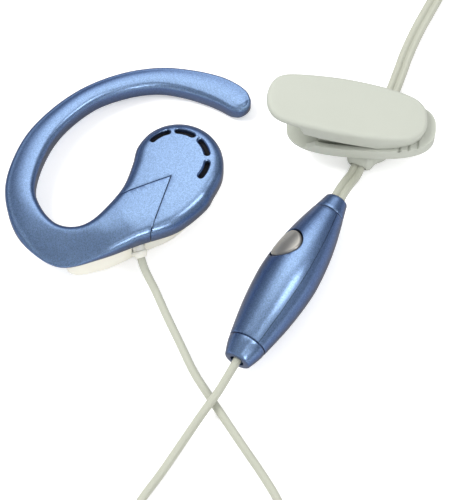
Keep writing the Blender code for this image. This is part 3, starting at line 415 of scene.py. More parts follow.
HOLDER_AT = Vector((36.785, 21.568))
HOLDER_DIRECTION = Vector((0.3987, 0.9171))
HOLDER_CORD_Z = 2.35
TWIN_COIL = Vector((44.5, 93.9))
through = [(*(HOLDER_AT + HOLDER_DIRECTION * d), HOLDER_CORD_Z) for d in (-10.2, -7.0, -3.5, 0.0, 3.5, 7.5)]
twin_turns = []
for step in range(1, 105):
    turn = step * 0.0415
    angle = -54.8 + 360 * turn
    radius = np.interp(turn, (0, 0.13, 2.3, 2.6, 4.13, 4.4), (25.8, 18.1, 18.1, 21.95, 21.95, 26.0))
    height = np.interp(turn, (0, 0.3, 2.3, 3.13, 3.32, 3.42, 3.58, 3.8, 3.97, 4.13, 4.26),
                       (1.7, 1.7, 5.45, 5.5, 3.65, 3.4, 1.75, 1.75, 3.6, 3.6, 1.85))
    twin_turns.append(coil_point(TWIN_COIL, angle, radius, height))
twin_route = [
    pod_point(19.6), pod_point(POD_HALF - 2), pod_point(POD_HALF),
    (28.9, 4.6, 6.7), (30.1, 7.1, 5.5), (31.3, 9.6, 3.8), *through,
    (41.4, 32.2, 2.35), (43.4, 36.9, 2.25), (45.4, 42.5, 1.7), (47.5, 48.5, 1.35), (50.3, 55.0, 1.35),
    (53.0, 60.3, 1.4), (56.0, 65.9, 1.6), (58.4, 70.4, 1.7), *twin_turns,
    (43.0, 119.8, 2.3), (38.5, 119.55, 3.2), (35.0, 119.5, 3.4), (31.0, 119.5, 3.4),
]
twin_path = even(twin_route, 1.2)


def length_of(path):
    return float(np.linalg.norm(np.diff(path, axis=0), axis=1).sum()) * MM


print("cord lengths, m:", round(length_of(ear_path), 3), round(length_of(twin_path), 3))

# %% [markdown]
# A cord's section stays level as it goes: its side direction is the level one square to the path. The
# round cord is a ring of points; the twin cord is two round conductors that touch, with the sheath's
# groove between them.

# %% Cord bodies
def cord_body(path, section):
    along = np.gradient(path, axis=0)
    along /= np.linalg.norm(along, axis=1)[:, None]
    side = np.cross(along, (0, 0, 1))
    side /= np.linalg.norm(side, axis=1)[:, None]
    up = np.cross(side, along)
    return sweep([[Vector(p + s * x + u * y) * MM for x, y in section]
                  for p, s, u in zip(path, side, up)])


round_section = [(EAR_RADIUS * math.cos(a), EAR_RADIUS * math.sin(a)) for a in np.radians(range(0, 360, 18))]
lobe = [(TWIN_LOBE * (1 + math.cos(a)), TWIN_LOBE * math.sin(a)) for a in np.radians(range(-130, 131, 20))]
twin_section = [*lobe, (0, TWIN_WAIST), *[(-x, -y) for x, y in lobe], (0, -TWIN_WAIST)]

ear_cord = dress(piece("ear cord", cord_body(ear_path, round_section)), "headset", "cord_ivory", cord_vinyl,
                 "ear_cord", "pod_cord", "ear_cord_coil")
twin_cord = dress(piece("twin cord", cord_body(twin_path, twin_section)), "headset", "cord_ivory", cord_vinyl,
                  "twin_cord", "twin_cord_coil", "twin_cord_tail")

# %% [markdown]
# ## Earpiece
#
# The hook and the head's top are one moulding, drawn as stations along it: outer edge, inner edge, height
# of the top face and of the underside. Between the stations a smooth curve fills in. The hook's end and
# the head are half rings of stations that close to a point. The section at each is a rounded block: a
# tight rounding on the hook's outer edge, a wider one on its inner edge, and wide equal ones round the
# head. The top also falls a little to the outer side, most of all across the neck, as a moulding does
# where it thins out towards the ear.

# %% Stations of the moulding, in millimetres from the head's middle
EARPIECE_AT = Vector((-11.1, 10.5, 0))
HEAD_RADIUS = 11.0
HEAD_TOP = 13.6
SEAM = 8.0
PER_STATION = 8
HOOK = [
    (17.3, 24.6, 13.0, 19.4, 5.1, 0.9), (14.6, 26.9, 10.2, 21.1, 5.2, 0.9), (10.4, 29.0, 6.6, 22.8, 5.3, 0.9),
    (3.5, 30.6, 1.0, 24.6, 5.6, 1.1), (-4.8, 31.0, -5.4, 25.3, 6.1, 1.5),
    (-14.6, 28.8, -12.9, 23.7, 6.8, 2.1), (-24.4, 23.7, -21.0, 19.7, 7.6, 2.8),
    (-32.8, 16.0, -28.3, 12.2, 8.4, 3.6),
    (-38.5, 7.2, -32.4, 4.0, 9.2, 4.4), (-41.5, -4.5, -34.2, -5.0, 9.9, 5.3),
    (-39.4, -15.2, -32.3, -11.2, 10.5, 6.4), (-34.5, -22.4, -28.6, -15.7, 11.2, 7.5),
    (-27.0, -26.9, -24.3, -17.1, 12.0, 8.0), (-17.5, -24.8, -20.3, -15.9, 12.8, 8.4),
    (-8.5, -21.1, -16.2, -11.8, 13.3, 8.4), (0.5, -17.5, -12.6, -6.5, 13.5, 8.0),
    (7.0, -11.9, -10.6, -0.5, 13.6, 8.0),
]
tip_rows = []
for degrees in (90, 80, 65, 45, 20):
    reach, half = 2.2 * math.sin(math.radians(degrees)), 2.7 * math.cos(math.radians(degrees))
    middle = Vector((15.95, 21.19)) + Vector((0.72, -0.69)) * reach
    across = Vector((0.69, 0.72)) * half
    tip_rows.append((*(middle + across), *(middle - across), 5.05 - 0.08 * reach**2, 0.95 + 0.15 * reach**2))
along = Vector((0.54, 0.84)).normalized()
across = Vector((along.y, -along.x))
head_rows = []
for degrees in (-10, 13, 33, 50, 64, 76, 84, 90):
    reach = math.sin(math.radians(degrees))
    half = HEAD_RADIUS * math.cos(math.radians(degrees))
    middle = Vector((0.6, -0.1)) + along * reach * HEAD_RADIUS
    bulge = 1 + 0.12 * max(0.0, 0.4 - reach)
    head_rows.append((*(middle + across * half * bulge), *(middle - across * half), HEAD_TOP, SEAM))
rows = smooth([*tip_rows, *HOOK, *head_rows], PER_STATION)
station = np.arange(len(rows)) / PER_STATION - (len(tip_rows) - 2)


def inward(rows):
    """Unit vectors into the moulding from its outer edge and from its inner edge."""
    outline = np.vstack([rows[1:-1, 0:2], rows[-1:, 0:2], rows[-2:0:-1, 2:4], rows[:1, 0:2]])
    run = np.roll(outline, -1, axis=0) - np.roll(outline, 1, axis=0)
    turn = np.stack([-run[:, 1], run[:, 0]], axis=1)
    turn /= np.linalg.norm(turn, axis=1)[:, None]
    n = len(rows)
    outer = np.vstack([turn[-1:], turn[:n - 1]])
    inner = np.vstack([turn[-1:], turn[n - 1:2 * n - 3][::-1], turn[n - 2:n - 1]])
    return outer, inner


def moulding(rows, outer_profile, inner_profile, across=9, crown=0.0):
    """A body whose section follows two profiles of (inset, height) from the underside to the top."""
    to_outer, to_inner = inward(rows)
    rings = []
    for k, row in enumerate(rows):
        outer = [(*(row[0:2] + to_outer[k] * inset), z) for inset, z in outer_profile(k)]
        inner = [(*(row[2:4] + to_inner[k] * inset), z) for inset, z in inner_profile(k)]
        top = [np.array(outer[-1]) * (1 - t) + np.array(inner[-1]) * t + (0, 0, crown * 4 * t * (1 - t))
               for t in np.linspace(0, 1, across)[1:-1]]
        base = [np.array(inner[0]) * (1 - t) + np.array(outer[0]) * t for t in (0.25, 0.5, 0.75)]
        rings.append([(Vector(p) + EARPIECE_AT) * MM for p in [*outer, *top, *inner[::-1], *base]])
    return sweep(rings, caps=False)


rise = rows[:, 4] - rows[:, 5]
fall = np.interp(station, (-3, 1, 4, 8, 11, 12.4, 13.3, 14.4, 15.2, 16.0),
                 (0.0, 0.1, 0.3, 0.4, 0.8, 1.5, 2.9, 2.9, 1.0, 0.0))
# Where the far limb falls, it also stands a little further out.
rows[:, 1] += 0.5 * fall * np.interp(station, (8, 11), (1, 0))
outer_fillet = np.minimum(np.interp(station, (-3, 2, 14, 18), (0.8, 0.6, 1.2, 3.1)), 0.6 * (rise - fall))
inner_fillet = np.minimum(np.interp(station, (-3, 1, 4, 14, 18), (0.8, 0.9, 1.3, 1.8, 3.1)), 0.6 * rise)


def rounded_side(fillet, k, drop=0.0):
    """From the underside up the wall and round the top edge."""
    under, top = rows[k, 5], rows[k, 4] - drop
    side = [(0.25, under), (0.07, under + 0.08), (0.0, under + 0.3)]
    for a in np.radians(np.linspace(0, 90, 8)):
        side.append((fillet[k] * (1 - math.cos(a)), top - fillet[k] * (1 - math.sin(a))))
    return side


def blue_body():
    return moulding(rows, lambda k: rounded_side(outer_fillet, k, fall[k]),
                    lambda k: rounded_side(inner_fillet, k), crown=0.25)


# %% [markdown]
# The head's cover is a separate part that meets the hook in a V-shaped line. Both are cut from the same
# body by the same V, grown on one side and shrunk on the other, so that a hair of space stays between
# them. Inside, a round pocket takes the speaker, and four curved slots go through the cover to let sound
# out at the back. Their cutters widen near the top, and that leaves the small chamfer that a moulded slot
# has.

# %% The V, the pocket and the slots
def vee(margin):
    apex, left, low = Vector((-1.0, -4.9)), Vector((-16.5, -10.9)), Vector((-7.0, -23.8))
    away = (apex - (left + low) / 2).normalized()
    normals = []
    for end in (left, low):
        run = (end - apex).normalized()
        normal = Vector((-run.y, run.x))
        normals.append(normal if normal.dot(away) > 0 else -normal)
    opening = math.acos(normals[0].dot(normals[1]))
    tip = apex - away * margin / math.cos(opening / 2)
    left, low = left - normals[0] * margin, low - normals[1] * margin
    return [p + EARPIECE_AT.xy for p in (tip, low, Vector((15.5, low.y)), Vector((15.5, 15.5)),
                                         Vector((left.x, 15.5)), left)]


POCKET_RADIUS = 8.9
POCKET_TOP = 12.1


def pocket():
    return place(turned(((0, 7), (POCKET_RADIUS, 7), (POCKET_RADIUS, POCKET_TOP), (0, POCKET_TOP))),
                 Matrix.Translation(EARPIECE_AT * MM))


VENT_RADIUS = 7.75
VENT_HALF = 0.62
VENT_SPANS = ((137, 105), (87, 59), (39, 11), (-9, -38))


def slot_outline(start, end, half):
    """A curved slot with round ends."""
    points = []
    for radius, angles in ((VENT_RADIUS + half, np.linspace(start, end, 14)),
                           (VENT_RADIUS - half, np.linspace(end, start, 14))):
        points += [Vector((math.cos(a), math.sin(a))) * radius for a in np.radians(angles)]
        last = math.radians(angles[-1])
        side = math.copysign(1, radius - VENT_RADIUS)
        out, on = Vector((math.cos(last), math.sin(last))), Vector((math.sin(last), -math.cos(last)))
        for turn in np.radians(np.linspace(0, 180, 9)[1:-1]):
            points.append(out * (VENT_RADIUS + side * half * math.cos(turn))
                          + on * side * half * math.sin(turn))
    return [p + EARPIECE_AT.xy for p in points]


def slot_tool(start, end):
    """A cutter that widens near the top, so that the slot's rim is chamfered."""
    levels = ((11, VENT_HALF), (HEAD_TOP - 0.3, VENT_HALF), (HEAD_TOP + 0.5, VENT_HALF + 0.7))
    return sweep([[Vector((*p, z)) * MM for p in slot_outline(start, end, half)] for z, half in levels])


def near_vee(p):
    local = (p - EARPIECE_AT).xy
    return p.z > 9 and (local.x < 1.5 and local.y < -4) and local.length < 26


SLIT = 0.12
hook_body = cut(blue_body(), ("DIFFERENCE", prism(vee(SLIT / 2), 4, 17)), ("DIFFERENCE", pocket()))
dress(piece("ear hook", bevel_where(hook_body, 0.12, near_vee, 60), 32), "headset", "blue_metallic",
      blue_paint, "ear_hook")
vents = [("DIFFERENCE", slot_tool(*span)) for span in VENT_SPANS]
cover_body = cut(blue_body(), ("INTERSECT", prism(vee(-SLIT / 2), 4, 17)), ("DIFFERENCE", pocket()), *vents)
dress(piece("head cover", bevel_where(cover_body, 0.12, near_vee, 60), 32), "headset",
      "blue_metallic", blue_paint, "head_cover")

# %% [markdown]
# The rear shell is the cream half under the blue one. It starts as a point under the neck of the hook,
# swells out under the neck, deepens under the head and draws in there towards its underside, and it is
# hollow. A hair of space parts it from the blue moulding. The cord leaves it by a soft tapered sleeve.

# %% Rear shell and cord sleeve
# How far the underside is drawn in, or swells out where it is below 0, and how high it lies, by station.
TAPER = ((13.0, 13.5, 14.0, 14.5, 15.0, 15.6, 16.2, 16.8, 17.3, 17.7, 18.3, 24.0),
         (0.3, -0.4, -1.0, -1.4, -1.5, -1.1, -0.5, 0.1, 0.7, 1.2, 2.2, 2.3))
FLOORS = ((12.7, 13.4, 14.0, 14.6, 15.2, 25.0), (5.8, 4.6, 3.2, 2.0, 1.5, 1.5))


def shell(start, narrow, wall, above):
    """The shell's outside, or its hollow when wall is its own wall."""
    kept = rows[station >= start].copy()
    at = station[station >= start]
    middle = (kept[:, 0:2] + kept[:, 2:4]) / 2
    closing = np.clip(1 - (at - at[0]) / narrow, 0, 1) ** 2
    for columns in (slice(0, 2), slice(2, 4)):
        kept[:, columns] += (middle - kept[:, columns]) * closing[:, None]
    taper = np.interp(at, *TAPER)
    floor = np.interp(at, *FLOORS) + wall

    def side(k, draw):
        low, high = floor[k], kept[k, 5] + above
        base = 0.2 + wall
        profile = [(base + draw + 0.5 * (1 - math.sin(a)), low + 0.5 * (1 - math.cos(a)))
                   for a in np.radians((0, 30, 60, 90))]
        for t in (0.25, 0.5, 0.75, 1.0):
            profile.append((base + draw * (1 - t) ** 1.4, low + 0.5 + (high - low - 0.5) * t))
        return profile

    return moulding(kept, lambda k: side(k, taper[k]), lambda k: side(k, min(taper[k], 0.7)), across=5)


CORD_HOLE = 1.65
exit_first, exit_next = Vector(EAR_START[0]), Vector(EAR_START[1])
exit_heading = (exit_next - exit_first).normalized()
exit_matrix = (Matrix.Translation((exit_first - exit_heading * 1.8) * MM)
               @ exit_heading.to_track_quat("Z", "Y").to_matrix().to_4x4())
hole = place(turned(((0, -2.2), (CORD_HOLE, -2.2), (CORD_HOLE, 3.0), (0, 3.0)), 32), exit_matrix)
mouth = place(turned(((0, 0), (5.3, 0), (5.3, 4.8), (0, 4.8))), Matrix.Translation(EARPIECE_AT * MM))
shell_body = cut(shell(12.6, 1.0, 0.0, -0.35), ("DIFFERENCE", shell(13.7, 0.6, 1.1, 1.0)),
                 ("DIFFERENCE", mouth), ("DIFFERENCE", hole))
dress(piece("rear shell", shell_body, 35), "headset", "white_plastic", white_plastic, "rear_shell")
sleeve = turned(rounded(((1.08, -1.8), (1.45, -1.8), (1.45, 0.1), (1.9, 0.2), (1.85, 0.9), (1.35, 1.8),
                         (1.08, 1.8), (1.08, -1.8)), 0.15), 40)
dress(piece("cord sleeve", place(sleeve, exit_matrix), 50), "headset", "white_plastic",
      white_plastic, "cord_grommet")

pad = turned(rounded(((0, 0.0), (7.4, 0.0), (7.4, 1.4), (0, 1.4)), 0.62, 6))
ear_pad = dress(piece("ear pad", place(pad, Matrix.Translation(EARPIECE_AT * MM)), 60), "headset",
                "black_foam", foam, "ear_cushion")

# %% [markdown]
# ## Pod
#
# The pod is a turned spindle, slightly flattened, that lies rolled on its side. Two half shells meet
# along its length, and a collar closes each end round a cord. Each end of a shell or collar is drawn in a
# little, so the joint between two of them is a small groove with bright rims.

# %% Shells and collars
POD_MATRIX = (Matrix.Translation(POD_AT * MM) @ Matrix.Rotation(POD_YAW, 4, "Z")
              @ Matrix.Rotation(POD_ROLL, 4, "Y"))
POD_PROFILE = smooth([
    (-24.4, 3.3), (-21.2, 4.45), (-18.3, 5.05), (-14.2, 5.85), (-10.0, 6.55), (-5.0, 7.1),
    (0.0, 7.35), (5.0, 7.05), (10.0, 6.4), (14.5, 5.5), (18.0, 4.6), (21.0, 3.8), (24.4, 2.9)], 8)
LOWER_END, UPPER_END = -19.4, 20.0
POD_WALL = 1.2
SEAM_HALF = 0.06  # half the width of every joint on the pod


def pod_width(y):
    return float(np.interp(y, POD_PROFILE[:, 0], POD_PROFILE[:, 1]))


def pod_loop(y, inset, angles, lift=0.0):
    half, depth = pod_width(y) - inset, pod_width(y) * 0.96 - inset
    return [Vector((half * math.cos(a), y, depth * math.sin(a) + lift)) * MM for a in np.radians(angles)]


def with_round_ends(low, high, count, rim):
    """Places between low and high, closer at the ends, each with how far the rounded rim draws in there."""
    turn = np.radians((0, 30, 60, 90))
    start = [(low + rim * (1 - math.cos(a)), rim * (1 - math.sin(a))) for a in turn]
    middle = [(y, 0.0) for y in np.linspace(low + rim, high - rim, count)[1:-1]]
    end = [(high - (y - low), inset) for y, inset in reversed(start)]
    return start + middle + end


def pod_shell(side):
    angles = np.linspace(10, 170, 33) if side > 0 else np.linspace(10, -190, 41)
    rings = []
    for y, inset in with_round_ends(LOWER_END + SEAM_HALF, UPPER_END - SEAM_HALF, 44, 0.22):
        rings.append(pod_loop(y, inset, angles, side * SEAM_HALF)
                     + pod_loop(y, POD_WALL, angles[::-1], side * SEAM_HALF))
    return sweep(rings)


def pod_collar(low, high, bore):
    angles = np.arange(0, 360, 7.5)
    rings = [pod_loop(y, inset, angles) for y, inset in with_round_ends(low, high, 6, 0.35)]
    for y in (high, low):
        rings.append([Vector((bore * math.cos(a), y, bore * math.sin(a))) * MM for a in np.radians(angles)])
    return sweep(rings, closed=True)


BUTTON_Y = 6.0
BUTTON_RADIUS = 4.15
HOLE_RADIUS = 4.55
button_hole = place(turned(((0, 2), (HOLE_RADIUS, 2), (HOLE_RADIUS, 10), (0, 10)), 72),
                    Matrix.Translation((0, BUTTON_Y * MM, 0)))
front = cut(pod_shell(1), ("DIFFERENCE", button_hole))
bevel_where(front, 0.18, lambda p: p.z > 3 and (p.xy - Vector((0, BUTTON_Y))).length < HOLE_RADIUS + 0.2, 45)
dress(piece("pod front shell", place(front, POD_MATRIX), 35), "headset", "blue_metallic", blue_paint,
      "pod_front_shell")
sound_hole = place(turned(((0, -9.5), (0.6, -9.5), (0.6, -2), (0, -2)), 24),
                   Matrix.Translation((0, -7 * MM, 0)))
dress(piece("pod back shell", place(cut(pod_shell(-1), ("DIFFERENCE", sound_hole)), POD_MATRIX), 35),
      "headset", "blue_metallic", blue_paint, "pod_back_shell")
dress(piece("pod lower collar", place(pod_collar(-24.4, LOWER_END - SEAM_HALF, 1.75), POD_MATRIX), 35),
      "headset", "blue_metallic", blue_paint, "pod_lower_collar")
dress(piece("pod upper collar", place(pod_collar(UPPER_END + SEAM_HALF, 24.4, 2.0), POD_MATRIX), 35),
      "headset", "blue_metallic", blue_paint, "pod_upper_collar")

# %% [markdown]
# The answer button is round, but its top follows the pod's curve, so that it stands the same little way
# out all round. It is turned flat first, and each point is then raised or lowered to the pod's surface
# under it.

# %% Answer button
button = turned(rounded(((0, -2.6), (BUTTON_RADIUS, -2.6), (BUTTON_RADIUS, 0.1), (0, 0.3)), 0.55, 5), 72)
bmesh.ops.subdivide_edges(button, cuts=5, use_grid_fill=True,
                          edges=[e for e in button.edges if all(v.co.z > 0 for v in e.verts)
                                 and abs(e.verts[0].co.xy.length - e.verts[1].co.xy.length) > 0.5 * MM])
for vert in button.verts:
    x, y = vert.co.x / MM, vert.co.y / MM + BUTTON_Y
    half = pod_width(y)
    vert.co.z += 0.96 * half * math.sqrt(1 - (x / half) ** 2) * MM if vert.co.z > -1.5 * MM else 6.8 * MM
    vert.co.y += BUTTON_Y * MM
dress(piece("answer button", place(button, POD_MATRIX), 50), "button", "silver_plastic",
      silver_paint, "answer_button")

# %% [markdown]
# ## Clip
#
# Two moulded jaws turn on a steel pin and a wound spring holds them shut. The upper jaw is a plate with a
# soft rim and side walls; the lower jaw is a shallow tray with teeth at its nose. The holder under them
# turns on a rivet, and the flat cord threads through it.

# %% Jaws
CLIP_MATRIX = Matrix.Translation(Vector((30.6, 22.0, 0)) * MM) @ Matrix.Rotation(math.radians(-4), 4, "Z")
PITCH = math.radians(13)
PLATE_Z = 18.5
MOUTH_Z = 11.4  # the upper jaw's lower edge, just clear of the lower jaw
PLATE_MATRIX = CLIP_MATRIX @ Matrix.Translation((0, 0, PLATE_Z * MM)) @ Matrix.Rotation(PITCH, 4, "Y")
PLATE = smooth_ring([
    (20.4, 1.0), (19.6, 4.2), (16.6, 6.5), (9.6, 7.8), (3.0, 8.2), (-3.4, 8.1), (-12.2, 7.2), (-16.9, 5.9),
    (-19.2, 3.2), (-19.9, -1.0), (-18.7, -4.8), (-15.4, -6.7), (-8.0, -7.5), (0.0, -7.7), (8.3, -7.3),
    (14.6, -6.4), (18.2, -4.8), (20.0, -2.2)], 6)
JAW = [(3.7 + 18.3 * math.copysign(abs(math.cos(a)) ** (2 / 2.7), math.cos(a)),
        7.8 * math.copysign(abs(math.sin(a)) ** (2 / 2.7), math.sin(a)))
       for a in np.linspace(0, 2 * math.pi, 96, endpoint=False)]
PIN_X, PIN_Z = -4.5, 12.8
PIN_HOLE = 1.3


def drawn_in(outline, inset):
    outline = np.array(outline)
    run = np.roll(outline, -1, axis=0) - np.roll(outline, 1, axis=0)
    turn = np.stack([-run[:, 1], run[:, 0]], axis=1)
    return outline + turn / np.linalg.norm(turn, axis=1)[:, None] * inset


def tray(outline, levels):
    """A body from (inset, height) levels of one outline."""
    return sweep([[Vector((x, y, z)) * MM for x, y in drawn_in(outline, inset)] for inset, z in levels])


def arc_levels(edge, radius, upward):
    """Levels that round an outline's edge at height edge."""
    levels = []
    for a in np.radians(np.linspace(0, 90, 8)):
        drop = radius * (1 - math.sin(a))
        levels.append((radius * (1 - math.cos(a)), edge - drop if upward else edge + drop))
    return levels


def bore(radius, x, z):
    return place(turned(((0, -9), (radius, -9), (radius, 9), (0, 9)), 48),
                 Matrix.Translation((x * MM, 0, z * MM)) @ Matrix.Rotation(math.pi / 2, 4, "X"))


def mouth_level(x):
    return (MOUTH_Z - PLATE_Z + x * math.sin(PITCH)) / math.cos(PITCH)


plate = tray(PLATE, [(0, -8.0), *arc_levels(0.0, 1.0, True), (2.2, 0.02), (4.5, 0.03)])
under = side_prism(((-23, -1.7), (-11.4, -1.7), (-9.6, -4.2), (8.0, -4.9), (8.8, mouth_level(8.8)),
                    (23, mouth_level(23)), (23, -14), (-23, -14)), 16)
plate_hollow = prism([(min(x, 10.0), y) for x, y in drawn_in(PLATE, 1.3) if x < 17], -11, -1.7)
pin_x = PIN_X * math.cos(PITCH) - (PIN_Z - PLATE_Z) * math.sin(PITCH)
pin_z = PIN_X * math.sin(PITCH) + (PIN_Z - PLATE_Z) * math.cos(PITCH)
plate_ears = [("UNION", box((pin_x - 2.2, low, pin_z - 2.2), (pin_x + 2.2, low + 1.4, -1.3)))
              for low in (-3.6, 2.2)]
upper = cut(plate, ("DIFFERENCE", under), ("DIFFERENCE", plate_hollow), *plate_ears,
            ("DIFFERENCE", bore(PIN_HOLE, pin_x, pin_z)))
bevel_where(upper, 0.18, lambda p: p.z < -1.5 and abs(p.y) > 3.7, 50)
dress(piece("upper jaw", place(upper, PLATE_MATRIX), 35), "clip_jaw", "ivory_plastic", ivory_plastic,
      "upper_jaw")

lower = tray(JAW, [*reversed([(i, z) for i, z in arc_levels(6.8, 1.1, False)]), (0, 9.0), (0, 11.1)])
jaw_hollow = prism([(min(x, 11.0), y) for x, y in drawn_in(JAW, 1.3) if x < 16], 8.4, 13)
tab = side_prism(((-17, 8.4), (-9.6, 8.4), (-7.4, 11.11), (-7.4, 13), (-17, 13)), 16)
teeth = []
for x in (13.2, 15.4, 17.6):
    notch = ((x - 0.4, 12), (x - 0.4, 11.0), (x, 10.6), (x + 0.4, 11.0), (x + 0.4, 12))
    teeth.append(("DIFFERENCE", side_prism(notch, 16)))
jaw_ears = [("UNION", box((PIN_X - 2.2, low, 7.9), (PIN_X + 2.2, low + 1.2, 15.0))) for low in (-5.1, 3.9)]
rivet_hole = place(turned(((0, 5), (1.7, 5), (1.7, 9.5), (0, 9.5)), 32), Matrix.Translation((6.2 * MM, 0, 0)))
lower = cut(lower, ("DIFFERENCE", jaw_hollow), ("DIFFERENCE", tab), *jaw_ears, *teeth,
            ("DIFFERENCE", bore(PIN_HOLE, PIN_X, PIN_Z)), ("DIFFERENCE", rivet_hole))
bevel_where(lower, 0.15, lambda p: p.z > 8.6 and abs(p.y) > 5.3, 50)
dress(piece("lower jaw", place(lower, CLIP_MATRIX), 35), "clip_base", "ivory_plastic", ivory_plastic,
      "lower_jaw")

# %% Pin and spring
pin = place(turned(rounded(((0, -5.6), (1.0, -5.6), (1.0, 5.6), (0, 5.6)), 0.2), 40),
            CLIP_MATRIX @ Matrix.Translation((PIN_X * MM, 0, PIN_Z * MM))
            @ Matrix.Rotation(math.pi / 2, 4, "X"))
dress(piece("hinge pin", pin), "clip_base", "steel", steel, "hinge_pin")
wire = [(PIN_X - 1.55, -1.5, 9.4), (PIN_X - 1.55, -1.5, 11.5)]
for step in range(0, 12 * 5 + 1):
    a = math.pi - step * math.pi / 6
    wire.append((PIN_X + 1.55 * math.cos(a), -1.5 + 3.0 * step / 60, PIN_Z + 1.55 * math.sin(a)))
wire += [(PIN_X - 1.9, 1.5, 13.2), (PIN_X - 3.9, 1.5, 13.4)]
wire_path = even(wire, 0.35)
along_wire = np.gradient(wire_path, axis=0)
along_wire /= np.linalg.norm(along_wire, axis=1)[:, None]
wire_rings = []
for p, t in zip(wire_path, along_wire):
    side = np.cross(t, (0.05, 1.0, 0.03))
    side /= np.linalg.norm(side)
    up = np.cross(side, t)
    wire_rings.append([Vector(p + 0.24 * (side * math.cos(a) + up * math.sin(a))) * MM
                       for a in np.linspace(0, 2 * math.pi, 10, endpoint=False)])
dress(piece("clip spring", place(sweep(wire_rings), CLIP_MATRIX)), "clip_base", "steel", steel,
      "clip_spring")

# %% [markdown]
# The holder is a round disc with a tapered mouth at each end, as wide as the cord. Its outline is one
# smooth loop, drawn in at the foot and at the shoulder.

# %% Cord holder
HOLDER_MATRIX = (Matrix.Translation((HOLDER_AT.x * MM, HOLDER_AT.y * MM, 0))
                 @ Matrix.Rotation(math.radians(-23.5), 4, "Z"))
quarter = [(2.5, 7.6), (3.8, 5.1), (5.1, 3.7), (5.95, 2.2), (6.3, 0.7)]
half_loop = quarter + [(x, -y) for x, y in reversed(quarter)]
HOLDER = smooth_ring(half_loop + [(-x, -y) for x, y in half_loop], 5)[::-1]
block = tray(HOLDER, [(1.7, 0.4), (1.1, 0.55), (0.6, 0.95), (0.2, 1.7), (0.0, 2.8), (0.05, 4.0), (0.3, 5.2),
                      (0.7, 5.9), (1.4, 6.4)])
flat_bore = []
for x_sign, z_sign, first in ((1, 1, 0), (-1, 1, 90), (-1, -1, 180), (1, -1, 270)):
    for a in np.radians(np.linspace(first, first + 90, 5)):
        flat_bore.append((x_sign * 1.0 + 1.1 * math.cos(a),
                          HOLDER_CORD_Z + z_sign * 0.05 + 1.1 * math.sin(a)))
bore_tool = side_prism(flat_bore, 12)
socket = turned(((0, 4.6), (1.7, 4.6), (1.7, 8), (0, 8)), 32)
dress(piece("cord holder", place(cut(block, ("DIFFERENCE", bore_tool), ("DIFFERENCE", socket)),
                                 HOLDER_MATRIX), 40),
      "holder", "ivory_plastic", ivory_plastic, "cord_holder")
rivet = turned(rounded(((0, 4.9), (1.4, 4.9), (1.4, 8.7), (2.5, 8.7), (2.3, 9.2), (0, 9.55)), 0.12), 40)
dress(piece("swivel rivet", place(rivet, HOLDER_MATRIX)), "holder", "steel", steel, "swivel_rivet")

# %% [markdown]
# ## Plug and ties
#
# The plug is turned about its axis: a grip with finger grooves, a strain relief that tapers to the cord
# and is flattened like it, and the three plated contacts with black rings between them.

# %% Plug
PLUG_MATRIX = Matrix.Translation(Vector((25.4, 119.5, 3.4)) * MM) @ Matrix.Rotation(math.pi / 2, 4, "Y")
grip = [(0, -14.0), (2.9, -14.0), (3.2, -13.2)]
for z in np.arange(-11.6, -4.0, 1.2):
    grip += [(3.2, z - 0.35), (2.95, z), (3.2, z + 0.35)]
grip += [(3.2, -2.0), (2.6, 0.0), (0, 0.0)]
plug_body = dress(piece("plug body", place(turned(rounded(grip, 0.2, 3)), PLUG_MATRIX)), "headset",
                  "ivory_plastic", ivory_plastic, "plug_body")
relief = [(0, 0.25), (2.15, 0.25)]
for k in range(6):
    z, r = 1.2 + 1.6 * k, 2.05 - 0.07 * k
    relief += [(r, z), (r - 0.28, z + 0.25), (r - 0.28, z + 0.55), (r - 0.03, z + 0.8)]
relief += [(1.5, 11.2), (0, 11.2)]
flattened = PLUG_MATRIX @ Matrix.Diagonal((0.88, 1.3, 1, 1))
strain_relief = dress(piece("strain relief", place(turned(rounded(relief, 0.12, 3)), flattened), 50),
                      "headset", "ivory_plastic", ivory_plastic, "plug_strain_relief")
contacts = (
    ("jack sleeve", "jack_sleeve", steel, ((0, -19.5), (1.25, -19.5), (1.25, -15.5), (2.3, -15.5),
                                           (2.3, -14.2), (0, -14.2))),
    ("jack ring 1", "jack_insulator_1", black_plastic, ((0, -20.6), (1.19, -20.6), (1.19, -19.6),
                                                        (0, -19.6))),
    ("jack ring", "jack_ring", steel, ((0, -22.7), (1.25, -22.7), (1.25, -20.7), (0, -20.7))),
    ("jack ring 2", "jack_insulator_2", black_plastic, ((0, -23.8), (1.19, -23.8), (1.19, -22.8),
                                                        (0, -22.8))),
    ("jack tip", "jack_tip", steel, ((0, -27.0), (0.75, -26.6), (1.22, -25.5), (0.85, -24.7), (1.22, -24.25),
                                     (1.22, -23.9), (0, -23.9))),
)
for name, stands_for, material, profile in contacts:
    made = piece(name, place(turned(rounded(profile, 0.12, 3), 48), PLUG_MATRIX))
    slot_name = "steel" if material == steel else "black_plastic"
    dress(made, "headset", slot_name, material, stands_for)

# %% [markdown]
# Each coil is held by a small plastic cable tie: a flat strap round the bundle, a square head that grips
# it and the cut end that sticks out of the head.

